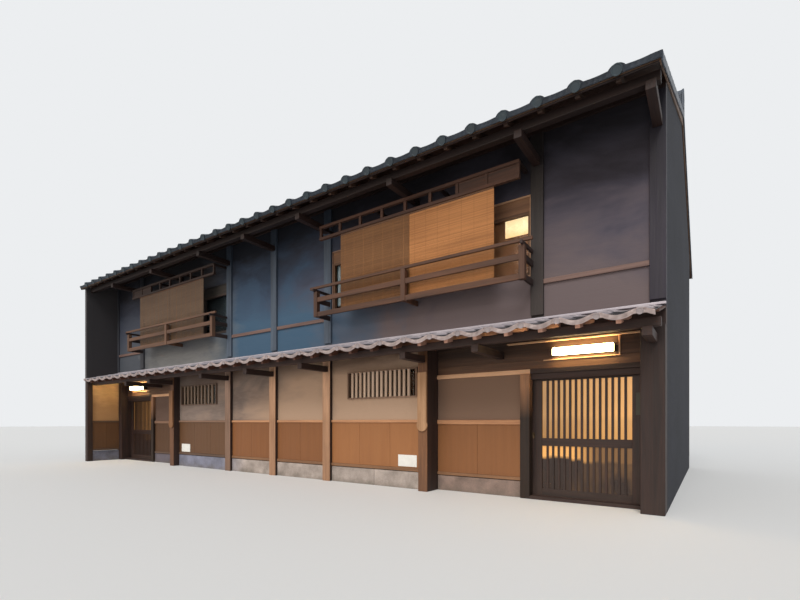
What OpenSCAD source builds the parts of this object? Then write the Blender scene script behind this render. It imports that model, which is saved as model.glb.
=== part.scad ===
// Machiya townhouse: a row of two mirrored units under one tiled gable roof.
// X runs along the street, Y from the street into the house, Z up.
// The origin is on the ground at the centre of the house.

/* [House] */
// Half the length along the street, to the outer face of a party wall
half_len = 7600; // [7100:50:8200]
// Front plaster face to rear plaster face
house_depth = 7300; // [5600:50:9000]
// Thickness of the plastered walls
wall_t = 120; // [90:5:160]
// Thickness of the party walls at both ends
party_t = 150; // [120:5:200]
// Thickness of the ground floor slab
slab_t = 60; // [40:5:90]
// Underside of the upper floor above the ground
floor_z = 2560; // [2480:10:2560]
// Thickness of the upper floor
floor_t = 120; // [80:5:120]

/* [Front posts] */
// Width of the posts on the front wall
post_w = 200; // [140:5:240]
// How far the front posts stand out from the plaster
post_out = 80; // [40:5:110]
// Centre of the outer pair of lower posts from the middle of the house
bay_x = 1650; // [1400:25:1900]
// Inner side of the deep posts beside the entrances, from the middle
deep_x = 3920; // [3840:10:4000]
// Width of the deep posts
deep_w = 180; // [140:5:220]
// How far the deep posts and end posts stand out from the plaster
deep_out = 180; // [130:5:240]
// Width of the end posts of the lower storey
end_w = 280; // [200:5:320]
// Width of the posts of the upper storey
upper_post_w = 190; // [120:5:210]
// How far the upper posts stand out from the plaster
upper_post_out = 45; // [25:5:70]
// Centre of the upper posts outside the windows
window_post_x = 5930; // [5860:10:6000]

/* [Lower wall] */
// Height of the stone base
stone_h = 300; // [200:10:380]
// How far the stone base stands out from the plaster
stone_out = 20; // [10:5:30]
// Height of the base rail that lies on the stone
base_rail_h = 70; // [50:5:110]
// Height of the top of the dado rail above the ground
dado_z = 1230; // [1100:10:1300]
// Height of the dado rail itself
dado_h = 50; // [30:5:80]
// How far the rails stand out from the plaster
rail_out = 30; // [15:5:40]
// How far the boards of the wainscot stand out from the plaster
board_out = 8; // [4:1:12]
// Underside of the beam that closes the lower wall
beam_z = 2440; // [2400:10:2470]
// How far that beam stands out from the plaster
beam_out = 60; // [40:5:75]

/* [Latticed windows] */
// Width of a latticed window
lattice_w = 1620; // [1300:10:1800]
// Plaster between a latticed window and the deep post beside it
lattice_gap = 120; // [60:10:180]
// Sill of a latticed window above the ground
lattice_z = 1635; // [1560:5:1720]
// Height of a latticed window
lattice_h = 530; // [450:10:650]
// Width of the frame round a latticed window
lattice_frame = 25; // [20:5:45]
// Number of upright bars in a latticed window
lattice_bars = 14; // [10:1:17]
// Width of one upright bar
lattice_bar_w = 50; // [36:2:60]
// Free opening between the last bar and the outer side of the frame
lattice_open = 125; // [80:5:200]
// How far the frame of the window stands out from the plaster
lattice_out = 40; // [20:5:60]

/* [Entrances] */
// How far the entrance wall lies behind the front plaster
recess = 200; // [160:10:300]
// Thickness of the panelled entrance wall
panel_t = 80; // [60:5:100]
// Height of the stone below the entrance panel
entry_stone_h = 256; // [200:8:320]
// Height of the base rail of the entrance panel
entry_rail_h = 64; // [40:4:90]
// Height of the top of the entrance dado rail
entry_dado_z = 1185; // [1100:5:1300]
// Height of the entrance dado rail itself
entry_dado_h = 35; // [20:5:60]
// Width of the post between the panel and the door
door_post_w = 150; // [110:5:180]
// How far that post stands out from the panel
door_post_out = 70; // [40:5:100]
// Underside of the door head above the ground
head_z = 1850; // [1800:10:1900]
// Height of the door head
head_h = 90; // [70:5:110]
// Height of the lintel on the door head
lintel_h = 70; // [50:5:90]
// How far the lintel stands out from the panel
lintel_out = 40; // [20:5:60]
// Thickness of the boards above the lintel
entry_board_t = 40; // [25:5:60]

/* [Sliding doors] */
// Width of the door leaf
leaf_w = 1615; // [1570:5:1660]
// How far the closed leaf covers the door post
leaf_cover = 60; // [40:5:80]
// Thickness of the door leaf
leaf_t = 46; // [40:2:54]
// Width of the stiles at both sides of the leaf
stile_w = 150; // [90:5:170]
// Height of the top rail of the leaf
top_rail_h = 40; // [30:5:80]
// Height of the middle rail of the leaf
mid_rail_h = 120; // [80:5:140]
// Centre of the middle rail above the ground
mid_rail_z = 880; // [760:10:1000]
// Height of the bottom rail of the leaf
bottom_rail_h = 115; // [80:5:160]
// Number of upright bars in the leaf
leaf_bars = 14; // [10:1:16]
// Width of one bar of the leaf
leaf_bar_w = 34; // [26:2:42]
// Thickness of the bars from front to back
leaf_bar_t = 22; // [16:2:26]
// Thickness of the glass behind the bars
glass_t = 6; // [4:1:8]
// Height of the sill track above the ground
sill_h = 50; // [40:5:70]
// Depth of the groove in the sill track
sill_groove = 10; // [6:1:14]
// Depth of the groove in the door head
head_groove = 22; // [16:1:28]
// Width of the wood beside each groove
groove_lip = 8; // [6:1:14]
// Running clearance beside and above the leaf
leaf_gap = 5; // [5:0.5:8]
// Gap between the leaf and the bottom of its groove
seat_gap = 0.3; // [0.2:0.1:1]

/* [Pent roof] */
// Reach of the pent roof boards from the front plaster
pent_reach = 930; // [800:10:960]
// Rise of the pent roof for each unit of run
pent_slope = 0.264; // [0.236:0.004:0.288]
// Top of the pent roof boards where they would meet the plaster
pent_wall_z = 2700; // [2700:5:2740]
// Thickness of the pent roof boards
pent_board_t = 24; // [18:1:30]
// Width of a rafter of the pent roof
pent_rafter_w = 50; // [40:2:70]
// Height of a rafter of the pent roof
pent_rafter_h = 60; // [40:2:80]
// Centre of the pent eave beam from the plaster
pent_beam_y = 690; // [640:10:690]
// Width of the pent eave beam
pent_beam_w = 100; // [80:5:120]
// Height of the pent eave beam
pent_beam_h = 110; // [90:5:130]
// Width of the bracket arms below both eaves
arm_w = 110; // [80:5:140]
// Height of the bracket arms below the pent roof
pent_arm_h = 110; // [80:5:130]
// How far an arm runs past the beam that it carries
arm_past = 60; // [30:5:90]
// Centre of the bracket arm above each entrance, from the middle of the house
entry_arm_x = 5270; // [5000:10:5500]

/* [Upper wall] */
// Centre height of the rail on the upper wall
upper_rail_z = 3280; // [3200:10:3360]
// Height of that rail
upper_rail_h = 70; // [50:5:90]
// Sill of the upper windows above the ground
window_z = 3400; // [3340:10:3480]
// Head of the upper windows above the ground
window_top = 4640; // [4500:10:4700]
// Width of the frame round the upper windows
window_frame_w = 25; // [20:5:60]
// Height of the board that closes an upper window above the sashes
transom_h = 240; // [160:10:320]
// Number of sashes across an upper window
sashes = 4; // [2:1:6]
// Half the width of two sash stiles that meet
sash_w = 30; // [24:2:50]
// Underside of the wall plates below the roof
plate_z = 5500; // [5440:10:5540]
// How far the wall plates stand out from the plaster
plate_out = 40; // [20:5:60]

/* [Balconies] */
// Distance from the centre lines of the posts to the outer side of the balcony
balcony_in = 40; // [20:5:70]
// Reach of the balcony from the plaster
balcony_out = 470; // [400:10:520]
// Width and depth of the balcony posts
balcony_post = 90; // [70:5:110]
// Centre height of the bottom rail
rail_low_z = 3280; // [3240:10:3290]
// Centre height of the middle rail
rail_mid_z = 3565; // [3520:5:3600]
// Centre height of the handrail
rail_top_z = 3800; // [3760:10:3860]
// Height of the bottom rail and the middle rail
rail_flat_h = 90; // [60:5:110]
// Height of the handrail
handrail_h = 50; // [40:5:70]
// Thickness of the rails from front to back
rail_t = 40; // [30:5:60]
// How far the handrail runs past the corner posts
horn = 110; // [60:5:160]
// How far the rails lie behind the front of the balcony posts
rail_set = 10; // [5:5:30]

/* [Blinds] */
// Side of the blinds nearest the middle of the house
blind_x = 2230; // [2150:10:2320]
// Width of the blinds of one window
blind_w = 3150; // [2900:10:3300]
// Joint between the two widths, from the inner side
blind_split = 1580; // [1300:10:1800]
// Gap between the two widths
blind_gap = 6; // [4:1:12]
// Lower edge of the blinds above the ground
blind_z = 3340; // [3340:10:3400]
// Thickness of the blinds
blind_t = 12; // [8:1:16]
// Distance of the blinds from the plaster
blind_out = 350; // [310:5:360]
// Side of the blind frame nearest the middle of the house
blind_frame_x = 1760; // [1740:10:1840]
// Length of the blind frame
blind_frame_l = 4020; // [3800:10:4060]
// Centre height of the lower bar of the frame
blind_bar_z = 4770; // [4740:5:4800]
// Height of the bars of the frame
blind_bar_h = 50; // [36:2:60]
// Depth of the bars of the frame from front to back
blind_bar_t = 60; // [44:2:80]
// Number of arms that hold one frame to the wall
blind_arms = 4; // [3:1:6]
// Number of spaces between the struts of one frame
blind_struts = 8; // [4:1:12]
// Number of those spaces closed by a board, from the outer end
blind_boarded = 2; // [1:1:4]

/* [Tiles] */
// Number of tile rolls along the main roof
tile_rolls = 33; // [25:1:41]
// Thickness of the pans between the rolls
pan_t = 30; // [26:2:40]
// Depth of the hollow in each pan of the pent roof
pan_hollow = 16; // [8:2:18]
// Height of a roll of the main roof above the pans
roll_h = 95; // [70:5:110]
// Height of a roll of the pent roof above the pans
pent_roll_h = 25; // [20:5:60]
// Width of a roll at the pans
roll_w = 190; // [150:5:230]
// How far the tiles overhang the boards at the eave
tile_over = 40; // [20:5:60]
// Thickness of the plates that end each tile at the eave
eave_plate_t = 20; // [14:1:30]
// Depth of the straight apron that hangs below the pans at the main eave
apron_drop = 28; // [16:2:40]
// Depth of the curved aprons that hang below the pans at the pent eave
apron_h = 48; // [30:2:60]
// Width of one curved apron
apron_w = 330; // [280:5:360]
// Radius of the round disc that ends each roll of the main roof
disc_r = 90; // [80:2:96]
// Radius of the round disc that ends each roll of the pent roof
pent_disc_r = 50; // [40:2:60]
// Width of the solid bed of tiles along the ridge and along the wall
bed_w = 140; // [100:5:180]
// Height of the flashing above the tiles where the pent roof meets the wall
flashing_h = 30; // [20:5:60]

/* [Main roof] */
// Overhang of the roof boards in front and behind
eave_out = 980; // [860:10:1060]
// Overhang of the roof boards past the party walls
verge_out = 40; // [30:5:60]
// Top of the roof boards at the eave edge
eave_z = 5275; // [5220:5:5320]
// Rise of the main roof for each unit of run
roof_slope = 0.42; // [0.34:0.01:0.5]
// Thickness of the roof boards
roof_board_t = 30; // [24:1:40]
// Width of a rafter
rafter_w = 60; // [45:5:80]
// Height of a rafter
rafter_h = 80; // [60:5:100]
// Centre of the eave beam from the plaster
eave_beam_y = 745; // [680:5:800]
// Width of the eave beam
eave_beam_w = 110; // [90:5:130]
// Height of the eave beam
eave_beam_h = 115; // [90:5:140]
// Height of the bracket arms below the eave beam
arm_h = 110; // [90:5:130]
// Width of the ridge
ridge_w = 300; // [240:10:360]
// Height of the ridge above the tiles, with its cap
ridge_h = 330; // [260:10:420]
// Radius of the round cap on the ridge
ridge_cap_r = 90; // [70:5:110]
// Height of the lowest ridge course
ridge_foot = 60; // [40:5:90]
// Height of the fascia boards
fascia_h = 45; // [30:5:70]
// Thickness of the fascia boards
fascia_t = 24; // [18:1:30]
// Height of the gable boards at the ridge
barge_h = 200; // [150:10:260]

/* [Side wing] */
// Reach of the wing wall at the left end from the plaster
wing_out = 900; // [890:10:920]
// Thickness of the wing wall
wing_t = 120; // [90:5:150]
// Width and depth of the post at its front edge
wing_post = 150; // [120:5:150]

/* [Fittings] */
// Width of a lamp
lamp_w = 870; // [700:10:1000]
// Underside of a lamp above the ground
lamp_z = 2180; // [2100:10:2220]
// Height of a lamp
lamp_h = 125; // [100:5:160]
// Depth of a lamp from front to back
lamp_t = 120; // [80:5:150]
// Width of the hanging boards on the deep posts
sign_w = 210; // [160:5:240]
// Lower end of the hanging boards above the ground
sign_z = 1030; // [950:10:1100]
// Height of the hanging boards
sign_h = 1010; // [900:10:1100]
// Thickness of the hanging boards
sign_t = 30; // [20:2:40]
// Width of the hanging boards above their foot, for each unit of the foot
sign_waist = 0.85; // [0.6:0.05:0.95]
// Width of the notice plates
plate_w = 400; // [300:10:440]
// Height of the notice plates
plate_h = 210; // [160:10:260]
// Lower edge of the notice plates above the ground
notice_z = 390; // [386:2:440]
// Gap between a notice plate and the deep post
plate_gap = 130; // [100:10:220]
// Thickness of the notice plates
plate_t = 12; // [6:1:16]

/* [Rear] */
// Inner side of the rear windows from the middle of the house
rear_window_x = 2600; // [2300:50:3000]
// Width of the rear windows
rear_window_w = 1820; // [1500:20:2100]
// Sill of the lower rear windows
rear_low_z = 900; // [700:20:1100]
// Head of the lower rear windows
rear_low_top = 2100; // [1900:20:2250]
// How far the rear posts and rails stand out
rear_out = 30; // [20:5:40]

/* [Hidden] */

eps = 0.01;
// Front plaster face, and the inner faces of the walls, along Y from that face
back = house_depth;
wall_top = plate_z;
floor_top = floor_z + floor_t;
ridge_y = house_depth / 2;
party_x = half_len - party_t;
end_x = half_len - end_w;
entry_x = deep_x + deep_w;
panel_back = recess + panel_t;
// The leaf runs behind the entrance panel, between the lips of its track
track_front = panel_back;
leaf_y = track_front + groove_lip + leaf_gap;
track_back = leaf_y + leaf_t + leaf_gap + groove_lip;
leaf_x1 = end_x - leaf_gap;
leaf_x0 = leaf_x1 - leaf_w;
leaf_z0 = sill_h - sill_groove + seat_gap;
leaf_z1 = head_z + head_groove - leaf_gap;
head_top = head_z + head_h;
lintel_top = head_top + lintel_h;
door_x0 = leaf_x0 + leaf_cover;
panel_x1 = door_x0 - door_post_w;
roof_half_len = half_len + verge_out;
tile_pitch = 2 * roof_half_len / tile_rolls;
tile_h = pan_t + roll_h;
pent_tile_h = pan_t + pent_roll_h;
roof_angle = atan(roof_slope);
pent_angle = atan(pent_slope);
window_x0 = bay_x + upper_post_w / 2;
window_x1 = window_post_x - upper_post_w / 2;
door_mid = (door_x0 + end_x) / 2;
balcony_x0 = bay_x + balcony_in;
balcony_x1 = window_post_x - balcony_in;
balcony_mid = (balcony_x0 + balcony_x1) / 2;
window_mid = (bay_x + window_post_x) / 2;
end_post_mid = half_len - upper_post_w / 2;
deep_mid = deep_x + deep_w / 2;
lattice_x = deep_x - lattice_gap - lattice_w;

// Radius of an arc that is w wide at its foot and h high
function arc_r(w, h) = (pow(w / 2, 2) + pow(h, 2)) / (2 * h);

// Height of the top of the pent roof boards, y measured from the plaster towards the house
function pent_top(y) = pent_wall_z + pent_slope * y;
function pent_under(y) = pent_top(y) - pent_board_t;
// Height of the top of the main roof boards, y from the front plaster
function roof_top(y) = eave_z + roof_slope * (y + eave_out);
function roof_under(y) = roof_top(y) - roof_board_t;

// Eave beams: front face, and underside and top
pent_beam_front = -pent_beam_y - pent_beam_w / 2;
pent_beam_top = pent_under(pent_beam_front) - pent_rafter_h;
pent_beam_z = [pent_beam_top - pent_beam_h, pent_beam_top];
eave_beam_front = -eave_beam_y - eave_beam_w / 2;
eave_beam_top = roof_under(eave_beam_front) - rafter_h;
eave_beam_z = [eave_beam_top - eave_beam_h, eave_beam_top];
// Top of the flashing where the tiles of the pent roof meet the plaster, to the millimetre
flashing_top = round(pent_top(0) + pent_tile_h / cos(pent_angle) + flashing_h);
// The frame of the blinds hangs just below the bracket arms
blind_top_z = eave_beam_z[0] - arm_h - seat_gap - blind_bar_h / 2;

// A box from two corners, with y from the front plaster
module block(x0, x1, y0, y1, z0, z1) {
    translate([x0, y0 - house_depth / 2, z0]) cube([x1 - x0, y1 - y0, z1 - z0]);
}

// The same shape on both halves of the house
module both() {
    children();
    mirror([1, 0, 0]) children();
}

// An outline of [y, z] points, with y from the front plaster, drawn out from x0 to x1
module along_x(x0, x1, outline) {
    translate([x0, -house_depth / 2, 0]) rotate([90, 0, 90])
        linear_extrude(height = x1 - x0) polygon(outline);
}

// The same piece seen from the rear wall
module behind() {
    rotate([0, 0, 180]) children();
}

module ground_floor() color("dimgray") {
    block(-party_x, party_x, track_back, back - wall_t, 0, slab_t);
    block(-deep_x, deep_x, wall_t, track_back + eps, 0, slab_t);
}

module upper_floor() color("peru")
    block(-party_x, party_x, wall_t, back - wall_t, floor_z, floor_top);

// Stone blocks between the posts, below the wall panels
module stone_base() color("darkgray") {
    both() {
        block(post_w / 2, bay_x - post_w / 2, -stone_out, wall_t, 0, stone_h);
        block(bay_x + post_w / 2, deep_x, -stone_out, wall_t, 0, stone_h);
        block(entry_x, panel_x1, recess - stone_out, panel_back, 0, entry_stone_h);
    }
    block(-half_len, half_len, back - wall_t, back + stone_out, 0, stone_h);
    block(-half_len, -half_len + wing_t, -wing_out + wing_post, 0, 0, stone_h);
}

module party_wall() color("slategray")
    along_x(party_x, half_len, [[wall_t, 0], [back - wall_t, 0],
        [back - wall_t, roof_under(wall_t)], [ridge_y, roof_under(ridge_y)],
        [wall_t, roof_under(wall_t)]]);

module party_wall_right() party_wall();
module party_wall_left() mirror([1, 0, 0]) party_wall();

// A wall plane with one window on each side of the middle, as plain panels
module window_wall(x1, y0, y1, z0, z1, wx0, wx1, wz0, wz1) {
    both() {
        block(wx1, x1, y0, y1, z0, z1);
        block(wx0, wx1, y0, y1, z0, wz0);
        block(wx0, wx1, y0, y1, wz1, z1);
    }
    block(-wx0, wx0, y0, y1, z0, z1);
}

module rear_wall_lower() color("slategray")
    window_wall(half_len, back - wall_t, back, stone_h, floor_top,
        rear_window_x, rear_window_x + rear_window_w, rear_low_z, rear_low_top);

module rear_wall_upper() color("slategray")
    window_wall(half_len, back - wall_t, back, floor_top, wall_top,
        rear_window_x, rear_window_x + rear_window_w, window_z, window_top);

// Posts on the rear face
module rear_timbers() color("saddlebrown") {
    for (x = [-window_post_x, -bay_x, 0, bay_x, window_post_x])
        block(x - upper_post_w / 2, x + upper_post_w / 2, back, back + rear_out,
            stone_h, wall_top);
}

// A glazed window: outer frame and sash stiles, open between them, below a board
module sash_window(x0, x1, y0, y1, z0, z1, count, board_h) {
    step = (x1 - x0 - 2 * window_frame_w) / count;
    difference() {
        block(x0, x1, y0, y1, z0, z1);
        block(x0 + window_frame_w, x1 - window_frame_w, y0 - 1, y1 + 1,
            z0 + window_frame_w, z1 - window_frame_w);
    }
    for (i = [1 : count - 1]) let(px = x0 + window_frame_w + i * step)
        block(px - sash_w, px + sash_w, y0 + sash_w / 2, y1 - sash_w / 2,
            z0 + window_frame_w - eps, z1 - window_frame_w + eps);
    if (board_h > 0)
        block(x0 + window_frame_w - eps, x1 - window_frame_w + eps, y0 + sash_w / 2,
            y1 - sash_w / 2, z1 - board_h, z1 - window_frame_w + eps);
}

window_front = 0;
window_back = 90;
glass_y = window_back;

module upper_window() color("sienna")
    sash_window(window_x0, window_x1, window_front, window_back, window_z, window_top,
        sashes, transom_h);

module upper_window_right() upper_window();
module upper_window_left() mirror([1, 0, 0]) upper_window();

module rear_windows() color("sienna") both() {
    sash_window(rear_window_x, rear_window_x + rear_window_w, back - window_back, back,
        rear_low_z, rear_low_top, 2, 0);
    sash_window(rear_window_x, rear_window_x + rear_window_w, back - window_back, back,
        window_z, window_top, 2, 0);
}

// One sheet of glass behind each window's frame
module window_glass() color("lightcyan") both() {
    block(window_x0, window_x1, glass_y, glass_y + glass_t, window_z, window_top);
    block(lattice_x, lattice_x + lattice_w, glass_y, glass_y + glass_t,
        lattice_z, lattice_z + lattice_h);
    block(rear_window_x, rear_window_x + rear_window_w, back - window_back - glass_t,
        back - window_back, rear_low_z, rear_low_top);
    block(rear_window_x, rear_window_x + rear_window_w, back - window_back - glass_t,
        back - window_back, window_z, window_top);
}

module front_posts() color("saddlebrown")
    for (x = [-bay_x, 0, bay_x])
        block(x - post_w / 2, x + post_w / 2, -post_out, wall_t, 0, beam_z);

module deep_posts() color("saddlebrown") both()
    block(deep_x, entry_x, -deep_out, panel_back, 0, beam_z);

// The right end post stands out like the deep posts, the left one ends at the wing wall,
// which has a post at its front edge. The closed doors meet the jambs behind both.
module end_posts() color("saddlebrown") {
    block(end_x, half_len, -deep_out, wall_t, 0, beam_z);
    block(-half_len, -end_x, 0, wall_t, 0, beam_z);
    both() block(end_x, party_x, wall_t - eps, track_back, 0, beam_z);
    along_x(-half_len, -half_len + wing_post, [[-wing_out, 0], [-wing_out + wing_post, 0],
        [-wing_out + wing_post, pent_under(-wing_out + wing_post)],
        [-wing_out, pent_under(-wing_out)]]);
}

module door_posts() color("saddlebrown") both()
    block(panel_x1, door_x0, recess - door_post_out, panel_back, 0, head_top);

// The wing wall at the left end, below and above the pent roof
module side_wing() color("slategray") {
    along_x(-half_len, -half_len + wing_t, [[-wing_out + wing_post, dado_z], [0, dado_z],
        [0, beam_z], [-beam_out, beam_z], [-beam_out, pent_under(-beam_out)],
        [-wing_out + wing_post, pent_under(-wing_out + wing_post)]]);
    along_x(-half_len, -half_len + wing_t, [[-wing_out, pent_top(-wing_out)],
        [-upper_post_out, pent_top(-upper_post_out)],
        [-upper_post_out, roof_under(-upper_post_out)],
        [-wing_out, roof_under(-wing_out)]]);
}

lower_bays = [[post_w / 2, bay_x - post_w / 2], [bay_x + post_w / 2, deep_x]];
base_rail_z = [stone_h, stone_h + base_rail_h];
dado_rail_z = [dado_z - dado_h, dado_z];
entry_base_z = [entry_stone_h, entry_stone_h + entry_rail_h];
entry_dado_rail_z = [entry_dado_z - entry_dado_h, entry_dado_z];

// A band of one height in the bays of the front wall and on the wing wall
module wall_band(out, z) {
    both() for (bay = lower_bays) block(bay[0], bay[1], -out, wall_t, z[0], z[1]);
    block(-half_len, -half_len + wing_t + out, -wing_out + wing_post, 0, z[0], z[1]);
}

// A band of one height on the panelled walls beside the doors
module entry_band(out, z) {
    both() block(entry_x, panel_x1, recess - out, panel_back, z[0], z[1]);
}

// Base rail and dado rail in each bay
module lower_rails() color("saddlebrown") {
    for (z = [base_rail_z, dado_rail_z]) wall_band(rail_out, z);
    for (z = [entry_base_z, entry_dado_rail_z]) entry_band(rail_out, z);
}

module wainscot() color("sienna") {
    wall_band(board_out, [base_rail_z[1], dado_rail_z[0]]);
    entry_band(board_out, [entry_base_z[1], entry_dado_rail_z[0]]);
}

// Plaster panels of the lower wall, split round the latticed windows
module lower_plaster() color("rosybrown") both() {
    block(post_w / 2, bay_x - post_w / 2, 0, wall_t, dado_z, beam_z);
    block(bay_x + post_w / 2, lattice_x, 0, wall_t, dado_z, beam_z);
    block(lattice_x + lattice_w, deep_x, 0, wall_t, dado_z, beam_z);
    block(lattice_x, lattice_x + lattice_w, 0, wall_t, dado_z, lattice_z);
    block(lattice_x, lattice_x + lattice_w, 0, wall_t, lattice_z + lattice_h, beam_z);
    block(entry_x, panel_x1, recess, panel_back, entry_dado_z, head_top);
}

module window_lattice() color("burlywood") {
    x0 = lattice_x + lattice_frame;
    last = lattice_x + lattice_w - lattice_frame - lattice_open - lattice_bar_w / 2;
    pitch = (last - x0) / lattice_bars;
    difference() {
        block(lattice_x, lattice_x + lattice_w, -lattice_out, glass_y,
            lattice_z, lattice_z + lattice_h);
        block(lattice_x + lattice_frame, lattice_x + lattice_w - lattice_frame,
            -lattice_out - 1, glass_y + 1, lattice_z + lattice_frame,
            lattice_z + lattice_h - lattice_frame);
    }
    for (i = [1 : lattice_bars]) let(x = x0 + i * pitch)
        block(x - lattice_bar_w / 2, x + lattice_bar_w / 2, -lattice_out + 5, 0,
            lattice_z + lattice_frame - eps, lattice_z + lattice_h - lattice_frame + eps);
}

module window_lattice_right() window_lattice();
module window_lattice_left() mirror([1, 0, 0]) window_lattice();

// Door head with the upper groove, and the lintel across panel and door
module door_heads() color("saddlebrown") both() {
    difference() {
        union() {
            block(entry_x, end_x, track_front, track_back, head_z, head_top);
            block(door_x0, end_x, recess, track_front + eps, head_z, head_top);
        }
        block(entry_x - 1, end_x + 1, leaf_y - leaf_gap, leaf_y + leaf_t + leaf_gap,
            head_z - 1, head_z + head_groove);
    }
    block(entry_x, end_x, recess - lintel_out, track_back, head_top, lintel_top);
}

// Sill track with the lower groove, and the threshold in front of the door
module door_sills() color("saddlebrown") both() {
    difference() {
        union() {
            block(entry_x, end_x, track_front, track_back, 0, sill_h);
            block(door_x0, end_x, recess - door_post_out, track_front + eps, 0, sill_h);
        }
        block(entry_x - 1, end_x + 1, leaf_y - leaf_gap, leaf_y + leaf_t + leaf_gap,
            sill_h - sill_groove, sill_h + 1);
    }
}

// Boards above the lintel, and the soffit that closes the recess
module entry_boards() color("dimgray") both() {
    block(entry_x, end_x, recess, recess + entry_board_t, lintel_top, floor_z);
    block(entry_x, end_x, wall_t, recess + eps, beam_z - entry_board_t, beam_z);
}

// Latticed sliding leaf: stiles, three rails and upright bars in one piece
module door_leaf() color("saddlebrown") {
    x0 = leaf_x0 + stile_w;
    x1 = leaf_x1 - stile_w;
    pitch = (x1 - x0) / (leaf_bars + 1);
    difference() {
        block(leaf_x0, leaf_x1, leaf_y, leaf_y + leaf_t, leaf_z0, leaf_z1);
        block(x0, x1, leaf_y - 1, leaf_y + leaf_t + 1, leaf_z0 + bottom_rail_h,
            mid_rail_z - mid_rail_h / 2);
        block(x0, x1, leaf_y - 1, leaf_y + leaf_t + 1, mid_rail_z + mid_rail_h / 2,
            leaf_z1 - top_rail_h);
    }
    for (i = [1 : leaf_bars]) let(x = x0 + i * pitch)
        block(x - leaf_bar_w / 2, x + leaf_bar_w / 2, leaf_y, leaf_y + leaf_bar_t,
            leaf_z0 + bottom_rail_h - eps, leaf_z1 - top_rail_h + eps);
}

module door_right() door_leaf();
module door_left() mirror([1, 0, 0]) door_leaf();

// Two panes in each leaf, behind the bars
module door_glass() color("lightcyan")
    for (z = [[leaf_z0 + bottom_rail_h, mid_rail_z - mid_rail_h / 2],
              [mid_rail_z + mid_rail_h / 2, leaf_z1 - top_rail_h]])
        block(leaf_x0 + stile_w, leaf_x1 - stile_w, leaf_y + leaf_bar_t,
            leaf_y + leaf_bar_t + glass_t, z[0], z[1]);

module door_glass_right() door_glass();
module door_glass_left() mirror([1, 0, 0]) door_glass();

module wall_beam() color("saddlebrown")
    block(-half_len, half_len, -beam_out, wall_t, beam_z, floor_top);

// Bracket arms of both eaves, each on the post behind it, and the arms of the blinds
module arm(x, y0, y1, z1, h) {
    block(x - arm_w / 2, x + arm_w / 2, y0, y1, z1 - h, z1);
}

module bracket_arms() color("saddlebrown") {
    pent_tip = pent_beam_front - arm_past;
    eave_tip = eave_beam_front - arm_past;
    for (x = [-bay_x, 0, bay_x])
        arm(x, pent_tip, -post_out, pent_beam_z[0], pent_arm_h);
    for (x = [-deep_mid, deep_mid, end_x + end_w / 2])
        arm(x, pent_tip, -deep_out, pent_beam_z[0], pent_arm_h);
    for (x = [-window_post_x, -bay_x, 0, bay_x, window_post_x, end_post_mid])
        arm(x, eave_tip, -upper_post_out, eave_beam_z[0], arm_h);
    both() {
        arm(entry_arm_x, pent_tip, recess, pent_beam_z[0], pent_arm_h);
        arm(window_mid, eave_tip, 0, eave_beam_z[0], arm_h);
        for (i = [0 : blind_arms - 1])
            let(x = blind_frame_x + i * (blind_frame_l - blind_bar_h) / (blind_arms - 1))
            block(x, x + blind_bar_h, blind_frame_back, 0, blind_top_z - blind_bar_h / 2,
                blind_top_z + blind_bar_h / 2);
    }
}

// Beams on the arms, from the wing wall to the right end
module eave_beams() color("saddlebrown") {
    block(-half_len + wing_t, half_len, pent_beam_front,
        pent_beam_front + pent_beam_w, pent_beam_z[0], pent_beam_z[1]);
    block(-half_len + wing_t, half_len, eave_beam_front,
        eave_beam_front + eave_beam_w, eave_beam_z[0], eave_beam_z[1]);
}

// Centres of the tile rolls, and of the pans between them, each over a rafter
roll_x = [for (i = [0 : tile_rolls - 1]) (i + 0.5) * tile_pitch - roof_half_len];
pan_x = [for (i = [1 : tile_rolls - 1]) i * tile_pitch - roof_half_len];
// The row of pent tiles ends just past its last roll, inside the boards
pent_end = roll_x[tile_rolls - 1] + tile_pitch / 3;

// Boards of the pent roof, with the rafters nailed below them
module pent_deck() color("sienna") {
    along_x(-half_len, half_len, [[-pent_reach, pent_under(-pent_reach)],
        [-beam_out, pent_under(-beam_out)], [-beam_out, pent_top(-beam_out)],
        [-pent_reach, pent_top(-pent_reach)]]);
    for (x = pan_x)
        along_x(x - pent_rafter_w / 2, x + pent_rafter_w / 2,
            [[-pent_reach, pent_under(-pent_reach) - pent_rafter_h],
             [-beam_out, pent_under(-beam_out) - pent_rafter_h],
             [-beam_out, pent_under(-beam_out) + eps],
             [-pent_reach, pent_under(-pent_reach) + eps]]);
}

// Round rolls, from the boards to h above the pans
module rolls(h) intersection() {
    for (x = roll_x) translate([x, pan_t + h - arc_r(roll_w, h)])
        circle(r = arc_r(roll_w, h), $fn = 48);
    translate([-roof_half_len, 0]) square([2 * roof_half_len, pan_t + h]);
}

// Round discs of radius r whose tops are level with rolls of height h
module discs(r, h)
    for (x = roll_x) translate([x, pan_t + h - r]) circle(r = r, $fn = 48);

// Section across the main tiles, from the boards up: flat pans and round rolls
module main_section(x0, x1) {
    translate([x0, 0]) square([x1 - x0, pan_t]);
    rolls(roll_h);
}

// Front of the main eave tiles: a straight apron under the pans and a disc on each roll
module main_eave(x0, x1) {
    translate([x0, -apron_drop]) square([x1 - x0, apron_drop + pan_t]);
    rolls(roll_h);
    discs(disc_r, roll_h);
}

// Pans of the pent roof and what hangs below them, hollowed by a shallow arc; what is
// left of a pan at either end stays flat
module hollow_pans(x0, x1) {
    hollow_r = arc_r(tile_pitch - roll_w - pan_t, pan_hollow);
    difference() {
        union() {
            translate([x0, 0]) square([x1 - x0, pan_t]);
            children();
        }
        for (x = pan_x) translate([x, pan_t - pan_hollow + hollow_r])
            circle(r = hollow_r, $fn = 96);
    }
}

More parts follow.
